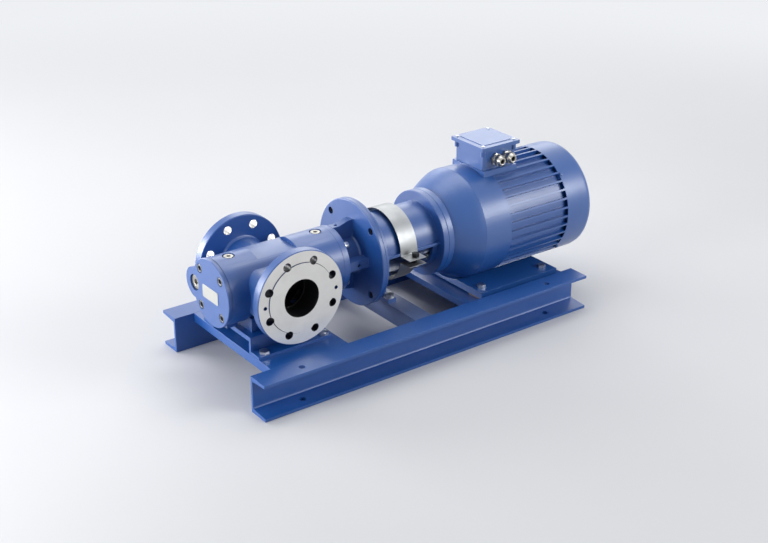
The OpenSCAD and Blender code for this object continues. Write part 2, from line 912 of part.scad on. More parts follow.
module pump_coupling_hub() {
    color("#5c6167")
        difference() {
            union() {
                turned([
                    [end_r, coupling_x], [hub_r - 8, coupling_x], [hub_r - 8, coupling_x + 14],
                    [hub_r, coupling_x + 20], [hub_r, coupling_x + hub_l], [end_r, coupling_x + hub_l]
                ]);
                around(3)
                    ring_sector(coupling_x + hub_l - 1, coupling_x + hub_l + claw_l, 20, hub_r - 1, 14);
            }
            block(coupling_x - 1, shaft_end + 3, -4, 4, shaft_z, shaft_z + end_r + 3.2);
        }
}

module coupling_spider() {
    color("#c2362b")
        union() {
            turned([
                [12, coupling_x + hub_l + 2], [19.7, coupling_x + hub_l + 2],
                [19.7, coupling_x + hub_l + hub_gap - 2], [12, coupling_x + hub_l + hub_gap - 2]
            ]);
            around(6, 30)
                ring_sector(coupling_x + hub_l + 2, coupling_x + hub_l + hub_gap - 2, 19, hub_r - 1, 14);
        }
}

module motor_coupling_hub() {
    color("#5c6167")
        difference() {
            union() {
                turned([
                    [motor_shaft_r, motor_hub_x], [hub_r, motor_hub_x], [hub_r, motor_hub_x + hub_l],
                    [motor_shaft_r, motor_hub_x + hub_l]
                ]);
                around(3, 60)
                    ring_sector(motor_hub_x - claw_l, motor_hub_x + 1, 20.3, hub_r - 1, 14);
            }
            block(motor_hub_x - 1, motor_hub_x + hub_l + 1, -5, 5, shaft_z, shaft_z + motor_shaft_r + 3.5);
        }
}

ledge_y = 80;
ledge_t = 5.5;
band_r = norm([ledge_y, ledge_t]);
band_x = tube_x + 56;
window_x = tube_x + 33;
window_end = motor_x - ring_w - 12;
ear_l = 32;
ear_bolt_y = -ledge_y - 18;

module coupling_lantern() {
    color("#3166ad")
        difference() {
            union() {
                turned([
                    [bearing_r, lantern_x], [large_r - 0.5, lantern_x], [large_r, lantern_x + 0.5],
                    [large_r, tube_x - 1.5], [large_r - 1.5, tube_x], [tube_r, tube_x],
                    [tube_r, motor_x - ring_w], [motor_ring_r - 1, motor_x - ring_w],
                    [motor_ring_r, motor_x - ring_w + 1], [motor_ring_r, motor_x - 0.7],
                    [motor_ring_r - 0.7, motor_x], [hub_r + 8, motor_x],
                    [hub_r + 8, motor_x - inner_flange_t], [tube_r - tube_wall, motor_x - inner_flange_t],
                    [tube_r - tube_wall, tube_x], [bearing_r, tube_x]
                ]);
                for (s = [0, 1])
                    mirror([0, s, 0])
                        block(tube_x - 1, motor_x - ring_w + 1, tube_r - tube_wall + 1, ledge_y,
                            shaft_z, shaft_z + ledge_t);
                difference() {
                    block(member_x, member_x + 14, -30, 30, beam_height, shaft_z - 40);
                    along_x(member_x - 1, member_x + 30, tube_r - 1);
                }
                block(member_x, member_x + 21, -57, 57, beam_height, beam_height + lantern_foot_t);
            }
            for (s = [0, 1])
                mirror([0, s, 0])
                    block(window_x, window_end, 30, 100, shaft_z - 50, shaft_z);
            around(4, 45)
                along_x(lantern_x - 1, tube_x + 1, 4, 0, large_pcd / 2);
            around(4, 45)
                along_x(motor_x - ring_w - 1, motor_x + 1, 5 + bolt_gap, 0, motor_pcd / 2);
            at_lantern_foot()
                translate([0, 0, -1])
                    cylinder(r = 6 + bolt_gap, h = lantern_foot_t + 2);
        }
}

module lantern_foot_bolts() {
    color("#c9ccd0")
        at_lantern_foot() {
            translate([0, 0, lantern_foot_t + 2.5])
                hex_bolt(6 - thread_gap, 19, 7.2, lantern_foot_t + 2.5 + member_wall + 4);
            translate([0, 0, lantern_foot_t])
                cylinder(r = 11.5, h = 2.5);
        }
}

module lantern_flange_screws() {
    color("#c9ccd0")
        around(4, 45)
            translate([0, 0, large_pcd / 2])
                cap_screw_x(large_x + 3, 4, 6.5, 3.5, 9.5, 5);
}

module lantern_motor_screws() {
    color("#c9ccd0")
        around(4, 45)
            translate([0, 0, motor_pcd / 2])
                cap_screw_x(motor_x - inner_flange_t - 8, 5, 7.5, 8, inner_flange_t + 9, 8);
}

module guard_band() {
    color("#cdd0d2")
        difference() {
            union() {
                difference() {
                    turned([
                        [band_r, band_x], [band_r + 1, band_x], [band_r + 1, band_x + band_w],
                        [band_r, band_x + band_w]
                    ]);
                    block(band_x - 1, band_x + band_w + 1, -90, -70, shaft_z - 14, shaft_z - 1.5);
                }
                block(band_x + 2, band_x + band_w, -ledge_y - ear_l, -ledge_y - 0.3,
                    shaft_z - 1.5, shaft_z);
                block(band_x + 2, band_x + band_w, -ledge_y - ear_l, -ledge_y + 0.8,
                    shaft_z - 15.5, shaft_z - 14);
            }
            translate([band_x + 26, ear_bolt_y, shaft_z - 20])
                cylinder(r = 4 + bolt_gap, h = 30);
        }
}

module guard_band_bolt() {
    color("#4b5056")
        translate([band_x + 26, ear_bolt_y, shaft_z])
            union() {
                hexagon(14, 8.5);
                translate([0, 0, -24])
                    cylinder(r = 4 - thread_gap, h = 26);
                translate([0, 0, -21.5])
                    hexagon(13, 6);
            }
}

module motor_drive_shield() {
    color("#3166ad")
        difference() {
            turned([
                [24, motor_x], [motor_ring_r - 0.7, motor_x], [motor_ring_r, motor_x + 0.7],
                [motor_ring_r, cone_x - 1], [motor_ring_r - 1, cone_x], [90, cone_x],
                [motor_r - 26, cone_x + cone_l * 0.19], [motor_r - 17, cone_x + cone_l * 0.41],
                [motor_r - 8, cone_x + cone_l * 0.67], [motor_r - 2, cone_x + cone_l * 0.88],
                [motor_r, frame_x], [motor_r - 9, frame_x], [motor_r - 12, frame_x - 11],
                [84, cone_x + 13], [50, cone_x + 13], [50, motor_bearing_x + motor_bearing_w],
                [40, motor_bearing_x + motor_bearing_w], [40, motor_bearing_x], [24, motor_bearing_x]
            ]);
            around(4, 45)
                along_x(motor_x - 1, motor_x + 11, 5, 0, motor_pcd / 2);
        }
}

module motor_frame() {
    color("#3166ad")
        difference() {
            union() {
                along_x(frame_x, fin_x, motor_r);
                translate([fin_x - 1, 0, shaft_z])
                    rotate([0, 90, 0])
                        linear_extrude(fin_l + 1)
                            union() {
                                circle(r = motor_r - fin_depth);
                                intersection() {
                                    circle(r = motor_r);
                                    union() {
                                        for (i = [0 : fin_n - 1])
                                            rotate([0, 0, (i + 0.5) * 360 / fin_n])
                                                translate([90, -2.2])
                                                    square([40, 4.4]);
                                    }
                                }
                            }
                block(box_x - 3, box_x + box_l + 1, -54, 54, box_z - 13, box_z);
                block(box_x + 4, box_x + box_l - 6, -46, 46, shaft_z + 90, box_z - 12);
            }
            along_x(frame_x - 1, fin_end + 1, core_r);
            along_x(frame_x - 1, core_x, core_r + 5);
            along_x(core_x + core_l, fin_end + 1, core_r + 5);
            block(box_x + 25, box_x + box_l - 25, -18, 18, shaft_z + 90, box_z + 1);
        }
}

// Places of the motor foot bolts
module at_motor_feet() {
    for (x = [foot_x, foot_x + foot_b])
        for (s = [-1, 1])
            translate([x, s * foot_a / 2, 0])
                children();
}

module motor_feet() {
    color("#3166ad")
        difference() {
            block(foot_slab_x, foot_slab_x + foot_slab_l, -135, 135, foot_z, foot_z + foot_t);
            along_x(foot_slab_x - 1, foot_slab_x + foot_slab_l + 1, motor_r);
            at_motor_feet()
                translate([0, 0, foot_z - 1])
                    cylinder(r = 5 + bolt_gap, h = foot_t + 2);
        }
}

module motor_foot_shims() {
    color("#8d7a63")
        difference() {
            at_motor_feet()
                translate([-20, -17, foot_z - shim_t])
                    cube([38, 34, shim_t]);
            at_motor_feet()
                translate([0, 0, foot_z - shim_t - 1])
                    cylinder(r = 5 + bolt_gap, h = shim_t + 2);
        }
}

module motor_foot_bolts() {
    color("#c9ccd0")
        at_motor_feet()
            translate([0, 0, foot_z + foot_t])
                hex_bolt(5, 17, 6.4, foot_t + shim_t + bar_t + 12, foot_t + shim_t + bar_t);
}

module stator_core() {
    color("#70757b")
        difference() {
            along_x(core_x, core_x + core_l, core_r - fit_gap);
            along_x(core_x - 1, core_x + core_l + 1, 68);
            around(24)
                block(core_x - 1, core_x + core_l + 1, -3, 3, shaft_z + 60, shaft_z + 86);
        }
}

module stator_windings() {
    color("#b5673a")
        for (x = [core_x - 22, core_x + core_l])
            turned([
                [74, x], [90, x], [92, x + 3], [92, x + 19], [90, x + 22], [74, x + 22], [72, x + 19],
                [72, x + 3]
            ]);
}

module rotor_core() {
    color("#83888e")
        turned([[24, core_x], [67, core_x], [67, core_x + core_l], [24, core_x + core_l]]);
}

module motor_shaft() {
    color("#c3c7cb")
        union() {
            turned([
                [0, motor_hub_x + 2], [motor_shaft_r - 1, motor_hub_x + 2], [motor_shaft_r, motor_hub_x + 3],
                [motor_shaft_r, motor_bearing_x], [20, motor_bearing_x],
                [20, motor_bearing_x + motor_bearing_w], [24, motor_bearing_x + motor_bearing_w],
                [24, rear_bearing_x], [20, rear_bearing_x], [20, rear_bearing_x + motor_bearing_w],
                [15, rear_bearing_x + motor_bearing_w], [15, fan_x + 30], [0, fan_x + 30]
            ]);
            block(motor_hub_x + 6, motor_hub_x + hub_l - 4, -5, 5, shaft_z + 10,
                shaft_z + motor_shaft_r + 3.3);
        }
}

module front_bearing_outer() {
    color("#c4c8cc")
        outer_race(motor_bearing_x, motor_bearing_w, 20, 40);
}

module front_bearing_inner() {
    color("#d4d7da")
        inner_race(motor_bearing_x, motor_bearing_w, 20, 40);
}

module rear_bearing_outer() {
    color("#c4c8cc")
        outer_race(rear_bearing_x, motor_bearing_w, 20, 40);
}

module rear_bearing_inner() {
    color("#d4d7da")
        inner_race(rear_bearing_x, motor_bearing_w, 20, 40);
}

module motor_rear_shield() {
    rear = rear_bearing_x + motor_bearing_w;
    color("#3166ad")
        difference() {
            union() {
                turned([
                    [40, rear_bearing_x], [50, rear_bearing_x], [50, fin_end],
                    [motor_r - fin_depth - 1, fin_end], [motor_r - fin_depth - 1, fin_end + 8],
                    [60, rear + 2], [50, rear + 4], [24, rear + 4], [24, rear], [40, rear]
                ]);
                around(4, 45)
                    block(fin_end, fin_end + 10, -9, 9, shaft_z + 104, shaft_z + motor_r - 3.2);
            }
            around(4, 45)
                translate([fin_end + 5, 0, shaft_z + motor_r - 14])
                    cylinder(r = 2.5, h = 20);
        }
}

module cooling_fan() {
    color("#2b2d30")
        union() {
            turned([[15, fan_x], [24, fan_x], [24, fan_x + 26], [15, fan_x + 26]]);
            turned([[23, fan_x + 22], [100, fan_x + 22], [100, fan_x + 24.5], [23, fan_x + 24.5]]);
            around(8)
                block(fan_x + 2, fan_x + 23, -1.5, 1.5, shaft_z + 23, shaft_z + 106);
        }
}

module fan_cowl() {
    rim = fin_end + cowl_l;
    color("#3166ad")
        difference() {
            turned([
                [motor_r - 2.5, fin_end], [motor_r, fin_end], [motor_r, rim - 16], [motor_r - 1.2, rim - 9],
                [motor_r - 5, rim - 4], [motor_r - 11, rim - 1], [motor_r - 17, rim], [0, rim],
                [0, rim - 2.5], [motor_r - 18, rim - 2.5], [motor_r - 12, rim - 3.4],
                [motor_r - 7, rim - 6], [motor_r - 3.6, rim - 10.4], [motor_r - 2.5, rim - 17]
            ]);
            around(24)
                block(rim - 6, rim + 1, -2.5, 2.5, shaft_z + 34, shaft_z + 98);
            around(4, 45)
                translate([fin_end + 5, 0, shaft_z + motor_r - 6])
                    cylinder(r = 2.5 + bolt_gap, h = 20);
        }
}

module fan_cowl_screws() {
    color("#c9ccd0")
        around(4, 45)
            translate([fin_end + 5, 0, shaft_z + motor_r])
                union() {
                    hexagon(8, 3);
                    translate([0, 0, -12])
                        cylinder(r = 2.5 - thread_gap, h = 13);
                }
}

// Places of the lid screws
module at_lid_corners() {
    for (x = [box_x + 1, box_x + box_l - 1])
        for (s = [-1, 1])
            translate([x, s * (box_w / 2 - 1), 0])
                children();
}

module terminal_box() {
    color("#3166ad")
        difference() {
            union() {
                block(box_x, box_x + box_l, -box_w / 2, box_w / 2, box_z, box_z + box_h);
                at_lid_corners()
                    translate([0, 0, box_z + box_h - 14])
                        cylinder(r = 5.5, h = 14);
            }
            block(box_x + 4, box_x + box_l - 4, -box_w / 2 + 4, box_w / 2 - 4, box_z + 4,
                box_z + box_h + 1);
            block(box_x + 30, box_x + box_l - 30, -14, 14, box_z - 1, box_z + 6);
            for (x = gland_x)
                translate([x, -box_w / 2 - 1, gland_z])
                    rotate([-90, 0, 0])
                        cylinder(r = 8, h = 10);
            at_lid_corners()
                translate([0, 0, box_z + box_h - 12])
                    cylinder(r = 2.5, h = 13);
        }
}

module terminal_lid() {
    color("#3166ad")
        difference() {
            union() {
                block(box_x - lid_over, box_x + box_l + lid_over, -box_w / 2 - lid_over,
                    box_w / 2 + lid_over, box_z + box_h, box_z + box_h + lid_t);
                block(box_x + 5.5, box_x + box_l - 5.5, -box_w / 2 + 5.5, box_w / 2 - 5.5,
                    box_z + box_h + lid_t - 1, box_z + box_h + lid_t + 1.2);
            }
            at_lid_corners()
                translate([0, 0, box_z + box_h - 1])
                    cylinder(r = 2.5 + bolt_gap, h = lid_t + 2);
        }
}

module terminal_block() {
    color("#3a3c40")
        union() {
            block(box_x + 12, box_x + 28, -30, 30, box_z + 4, box_z + 16);
            for (y = [-20, 0, 20])
                translate([box_x + 20, y, box_z + 15])
                    cylinder(r = 2.5, h = 12);
        }
}

module terminal_lid_screws() {
    color("#c9ccd0")
        at_lid_corners()
            translate([0, 0, box_z + box_h + lid_t])
                difference() {
                    union() {
                        cylinder(r = 4, h = 2);
                        translate([0, 0, -18])
                            cylinder(r = 2.5 - thread_gap, h = 19);
                    }
                    translate([-5, -0.6, 1])
                        cube([10, 1.2, 2]);
                }
}

module cable_glands() {
    color("#c8c4b8")
        for (x = gland_x)
            translate([x, -box_w / 2, gland_z])
                rotate([90, 0, 0])
                    difference() {
                        union() {
                            translate([0, 0, -7])
                                cylinder(r = 8 - thread_gap, h = 8);
                            hexagon(25, 7);
                            cylinder(r = 10.5, h = 12);
                            translate([0, 0, 11])
                                hexagon(23.5, 8);
                            translate([0, 0, 18])
                                cylinder(r1 = 11, r2 = 8, h = 8);
                        }
                        translate([0, 0, -8])
                            cylinder(r = 5, h = 40);
                    }
}

translate([-overall_l / 2, 0, 0]) {
    front_beam();
    rear_beam();
    pump_cross_plate();
    middle_cross_member();
    motor_cross_bars();
    pump_foot_bracket();
    pump_foot_bolts();
    pump_foot_screws();
    pump_housing();
    screw_liner();
    thrust_bridge();
    end_cover();
    barrel_o_rings();
    end_cover_screws();
    nameplate();
    relief_valve_plug();
    relief_valve_spring();
    relief_valve_piston();
    top_plugs();
    drive_screw();
    idler_screw_front();
    idler_screw_rear();
    drive_bracket();
    drive_bracket_screws();
    shaft_seal_seat();
    shaft_seal_head();
    pump_bearing_outer();
    pump_bearing_inner();
    pump_bearing_clip();
    pump_coupling_hub();
    coupling_spider();
    motor_coupling_hub();
    coupling_lantern();
    lantern_foot_bolts();
    lantern_flange_screws();
    lantern_motor_screws();
    guard_band();
    guard_band_bolt();
    motor_drive_shield();
    motor_frame();
    motor_feet();
    motor_foot_shims();
    motor_foot_bolts();
    stator_core();
    stator_windings();
    rotor_core();
    motor_shaft();
    front_bearing_outer();
    front_bearing_inner();
    rear_bearing_outer();
    rear_bearing_inner();
    motor_rear_shield();
    cooling_fan();
    fan_cowl();
    fan_cowl_screws();
    terminal_box();
    terminal_lid();
    terminal_lid_screws();
    terminal_block();
    cable_glands();
}
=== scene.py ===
"""Looks of the three-spindle screw pump set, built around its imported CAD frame.

Every length below is in millimetres unless its name or comment says metres. X is counted from
the left ends of the beams, Y from the shaft towards the rear and Z up from the floor, and one
function turns that into the row frame in metres.
"""

import logging
import math
from dataclasses import dataclass
from enum import Enum
from typing import Any, Sequence

import bmesh
import bpy
import numpy as np
from mathutils import Matrix

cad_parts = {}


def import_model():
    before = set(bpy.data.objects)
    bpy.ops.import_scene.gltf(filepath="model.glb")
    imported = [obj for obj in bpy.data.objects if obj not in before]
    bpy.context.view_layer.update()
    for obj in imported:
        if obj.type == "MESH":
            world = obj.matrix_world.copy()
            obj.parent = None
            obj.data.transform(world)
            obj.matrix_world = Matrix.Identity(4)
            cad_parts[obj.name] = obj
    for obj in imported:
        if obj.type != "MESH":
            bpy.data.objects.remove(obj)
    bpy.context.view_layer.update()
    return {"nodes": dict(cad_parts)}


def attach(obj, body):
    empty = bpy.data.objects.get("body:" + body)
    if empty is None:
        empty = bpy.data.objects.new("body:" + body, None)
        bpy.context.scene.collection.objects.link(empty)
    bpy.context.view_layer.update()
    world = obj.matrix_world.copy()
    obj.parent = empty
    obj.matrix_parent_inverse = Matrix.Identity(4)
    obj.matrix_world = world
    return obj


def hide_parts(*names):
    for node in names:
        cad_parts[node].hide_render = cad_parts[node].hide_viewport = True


LOG = logging.getLogger("screw_pump")

HALF_LENGTH = 467.0
SHAFT_Z = 197.0
MM = 0.001
ROOT = "frame"
SEGMENTS = 48
TURN = np.linspace(0, 2 * np.pi, SEGMENTS, endpoint=False)
FINE_TURN = np.linspace(0, 2 * np.pi, 2 * SEGMENTS, endpoint=False)
LEFT, RIGHT, FRONT, UP, DOWN = (-1, 0, 0), (1, 0, 0), (0, -1, 0), (0, 0, 1), (0, 0, -1)
# Points nearer than this many metres are one point
SEAM_M = 2e-6
# Degrees an edge turns: past the first it stays crisp, past the second a softened copy rounds it
CREASE, ROUNDED = 32.0, 40.0


class Along(Enum):
    """Direction of a finish's rings, lines or sheets."""

    X = 0
    Y = 1


class Texture(Enum):
    """How the surface of a finish was made."""

    CAST = "cast"
    SHEET = "sheet"
    TURNED = "turned"
    BRUSHED = "brushed"
    PLATED = "plated"
    MOULDED = "moulded"
    STACKED = "stacked"
    WOUND = "wound"


# Shapes worked out as whole arrays


def place(points: np.ndarray) -> np.ndarray:
    """Turns drawing coordinates into the row frame.

    Args:
        points: Array of points in millimetres, X from the left beam ends.

    Returns:
        The same points in metres, centred along X.
    """
    moved = np.asarray(points, float).reshape(-1, 3) - np.array([HALF_LENGTH, 0.0, 0.0])
    return moved * MM


def axes(axis: Sequence[float], turn: float = 0.0) -> np.ndarray:
    """Three unit vectors by cross products, the last one along the axis and the others turned
    about it.

    Args:
        axis: Direction of the axis.
        turn: Degrees about the axis.

    Returns:
        The vectors as rows.
    """
    w = np.asarray(axis, float) / np.linalg.norm(axis)
    u = np.cross([0, 0, 1] if abs(w[2]) < 0.95 else [1, 0, 0], w)
    u /= np.linalg.norm(u)
    c, s = math.cos(math.radians(turn)), math.sin(math.radians(turn))
    return np.array([[c, s, 0], [-s, c, 0], [0, 0, 1]]) @ np.stack([u, np.cross(w, u), w])


def circle(radius: float | np.ndarray, height: float | np.ndarray,
           turn: np.ndarray = TURN) -> np.ndarray:
    """Ring of points: the radius times cosine and sine of the turn, and the height.

    Args:
        radius: Radius, the same all round or one for each point.
        height: Height, the same all round or one for each point.
        turn: Angles of the points.

    Returns:
        The ring's points.
    """
    return np.stack([radius * np.cos(turn), radius * np.sin(turn), height + 0 * turn], -1)


def hexagon(half: float, height: float, crown: float = 0.0) -> np.ndarray:
    """Ring of points on a hexagon, whose radius is half the width across flats over the cosine of
    the turn from the nearest flat's middle.

    Args:
        half: Half the width across flats.
        height: Height of the ring.
        crown: Radius past which the height falls at 30 degrees, or 0 for a level ring.

    Returns:
        The ring's points.
    """
    radius = half / np.cos((TURN + np.pi / 6) % (np.pi / 3) - np.pi / 6)
    fall = np.maximum(radius - crown, 0) * math.tan(math.pi / 6) if crown else 0 * radius
    return circle(radius, height - fall)


def plate_ring(half_x: float, half_y: float, radius: float, height: float) -> np.ndarray:
    """Ring of points on a rectangle whose corners are quarter circles of seven points.

    Args:
        half_x: Half the length.
        half_y: Half the width.
        radius: Corner radius.
        height: Height of the ring.

    Returns:
        The ring's points, counter-clockwise.
    """
    steps = 7
    turn = np.concatenate([np.linspace(k, k + 1, steps) * np.pi / 2 for k in range(4)])
    corner = np.repeat(np.array([[1, 1], [-1, 1], [-1, -1], [1, -1]]), steps, axis=0)
    flat = corner * np.array([half_x - radius, half_y - radius])
    flat = flat + radius * np.stack([np.cos(turn), np.sin(turn)], -1)
    return np.concatenate([flat, np.full((len(flat), 1), height)], 1)


def cove(start: Sequence[float], corner: Sequence[float], end: Sequence[float]) -> np.ndarray:
    """Outline of a cast or rolled inner radius: the quadratic curve between two points of the two
    faces, pulled towards their corner, and closed a little inside the metal.

    Args:
        start: Point on the first face.
        corner: Where the faces meet.
        end: Point on the second face.

    Returns:
        The closed outline.
    """
    sink = 0.6
    a, c, b = (np.asarray(p, float) for p in (start, corner, end))
    s = np.linspace(0, 1, 7)[:, None]
    curve = (1 - s) ** 2 * a + 2 * s * (1 - s) * c + s ** 2 * b
    inward = c - (a + b) / 2
    inward = inward / np.linalg.norm(inward) * sink
    return np.concatenate([curve, [b + inward, c + inward, a + inward]])


def grid_faces(rows: int, columns: int, wrap_rows: bool) -> np.ndarray:
    """Indices of the quads of a grid whose columns close to rings, worked out as whole arrays.

    Args:
        rows: Number of rows of points.
        columns: Number of columns of points.
        wrap_rows: Whether the last row joins the first.

    Returns:
        An array of quads.
    """
    a, b = np.meshgrid(np.arange(rows - (not wrap_rows)), np.arange(columns), indexing="ij")
    low, high = a * columns, (a + 1) % rows * columns
    b1 = (b + 1) % columns
    return np.stack([low + b, low + b1, high + b1, high + b], -1).reshape(-1, 4)


class Surface:
    """Collects grids of points and turns them into one closed mesh object."""

    def __init__(self) -> None:
        """Starts with no points and no faces."""
        self.points: list[np.ndarray] = []
        self.faces: list[list[int]] = []
        self.count = 0

    def grid(self, points: np.ndarray, wrap_rows: bool = False, caps: bool = False) -> "Surface":
        """Adds a grid of points, whose rows are closed rings.

        Args:
            points: Array of rows, columns and three numbers, in drawing coordinates.
            wrap_rows: Whether the last row joins the first.
            caps: Whether the first and the last row are closed with one face each.

        Returns:
            The surface itself.
        """
        rows, columns = points.shape[:2]
        faces = grid_faces(rows, columns, wrap_rows).tolist()
        if caps:
            faces.append(list(range(columns))[::-1])
            faces.append(list(range((rows - 1) * columns, rows * columns)))
        self.points.append(points.reshape(-1, 3))
        self.faces.extend([[i + self.count for i in face] for face in faces])
        self.count += rows * columns
        return self

    def rings(self, rows: Sequence[np.ndarray], centre: Sequence[float], axis: Sequence[float],
              turn: float = 0.0, caps: bool = False, loop: bool = False) -> "Surface":
        """Adds a form given ring by ring, each turned about the axis and moved to its centre.

        Args:
            rows: Rings of points, whose last number runs along the axis.
            centre: Where the local origin goes.
            axis: Direction of the axis.
            turn: Degrees about the axis.
            caps: Whether both ends are closed with one face, where they don't end in a point.
            loop: Whether the last ring joins the first.

        Returns:
            The surface itself.
        """
        return self.grid(np.stack(rows) @ axes(axis, turn) + np.asarray(centre, float), loop, caps)

    def turned(self, profile: np.ndarray, centre: Sequence[float],
               axis: Sequence[float]) -> "Surface":
        """Adds a closed surface of revolution: each profile point is carried round the axis.

        Args:
            profile: Closed outline as pairs of place along the axis and radius.
            centre: Where the local origin goes.
            axis: Direction of the axis.

        Returns:
            The surface itself.
        """
        local = circle(profile[:, 1:], profile[:, :1], FINE_TURN)
        return self.grid(local @ axes(axis) + np.asarray(centre, float), wrap_rows=True)

    def along_x(self, outline: np.ndarray, low: float, high: float) -> "Surface":
        """Adds a closed outline of Y and Z carried along X.

        Args:
            outline: Points across the beam.
            low: First place along X.
            high: Last place along X.

        Returns:
            The surface itself.
        """
        ends = np.array([low, high])[:, None, None]
        x = np.broadcast_to(ends, (2, len(outline), 1))
        yz = np.broadcast_to(outline[None], (2, len(outline), 2))
        return self.grid(np.concatenate([x, yz], -1), caps=True)

    def build(self, name: str, finish: "Finish", slot: str, replaces: Sequence[str] = (),
              sharp: float = CREASE) -> bpy.types.Object:
        """Makes the object, closes its seams and poles, and hangs it on its body.

        Args:
            name: Name of the piece.
            finish: What it is made of.
            slot: Not used.
            replaces: CAD nodes that it stands for.
            sharp: Edges that turn more than this many degrees stay crisp.

        Returns:
            The new object.
        """
        mesh = bpy.data.meshes.new(name)
        mesh.from_pydata(place(np.concatenate(self.points)).tolist(), [], self.faces)
        work = bmesh.new()
        work.from_mesh(mesh)
        bmesh.ops.remove_doubles(work, verts=work.verts, dist=SEAM_M)
        bmesh.ops.dissolve_degenerate(work, edges=work.edges, dist=SEAM_M / 2)
        bmesh.ops.recalc_face_normals(work, faces=work.faces)
        work.to_mesh(mesh)
        work.free()
        obj = bpy.data.objects.new(name, mesh)
        return settle(obj, finish, replaces, sharp)


def settle(obj: bpy.types.Object, finish: "Finish", replaces: Sequence[str],
           sharp: float) -> bpy.types.Object:
    """Links an object, shades it, gives it its finish and hangs it on the frame body.

    Args:
        obj: The new object, already in place.
        finish: Its finish.
        replaces: CAD nodes that it stands for.
        sharp: Crease angle in degrees.

    Returns:
        The same object.
    """
    bpy.context.scene.collection.objects.link(obj)
    obj.data.shade_smooth()
    obj.data.set_sharp_from_angle(angle=math.radians(sharp))
    obj.data.materials.clear()
    obj.data.materials.append(finish.material())
    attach(obj, ROOT)
    if replaces:
        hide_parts(*replaces)
    LOG.info("piece %-28s body %-14s %6d faces", obj.name, ROOT, len(obj.data.polygons))
    return obj


# Materials


def linear(hex_colour: str) -> tuple[float, float, float, float]:
    """Turns an sRGB hex value into linear light.

    Args:
        hex_colour: Colour such as "#2a5ba6".

    Returns:
        Red, green, blue and alpha for a colour socket.
    """
    values = [int(hex_colour[i:i + 2], 16) / 255 for i in (1, 3, 5)]
    light = [v / 12.92 if v <= 0.04045 else ((v + 0.055) / 1.055) ** 2.4 for v in values]
    return (light[0], light[1], light[2], 1.0)


def add_node(tree: bpy.types.NodeTree, kind: str, settings: dict[str, Any] | None = None,
             values: dict[Any, Any] | None = None,
             links: dict[Any, Any] | None = None) -> bpy.types.Node:
    """Adds a shader node with its settings, input values and links.

    Args:
        tree: The material's node tree.
        kind: The end of the shader node's type name.
        settings: Properties of the node.
        values: Input values by socket name or number.
        links: Output sockets by the input they feed.

    Returns:
        The new node.
    """
    node = tree.nodes.new("ShaderNode" + kind)
    for key, value in (settings or {}).items():
        setattr(node, key, value)
    for key, value in (values or {}).items():
        node.inputs[key].default_value = value
    for key, socket in (links or {}).items():
        tree.links.new(socket, node.inputs[key])
    return node


# Noise values between which the patches fade in and the gloss wanders, and how far it wanders
PATCH_FROM, GLOSS_FROM, BLOTCH_TO = 0.35, 0.3, 0.7
GLOSS_LOW, GLOSS_HIGH = 0.88, 1.14
# A wave repeats every 2 pi / 20 at scale 1, so this draws rings and sheets about two grains apart
WAVE_SCALE = 0.1592
# Brush lines are this many times longer than wide
BRUSH_LENGTH = 25.0


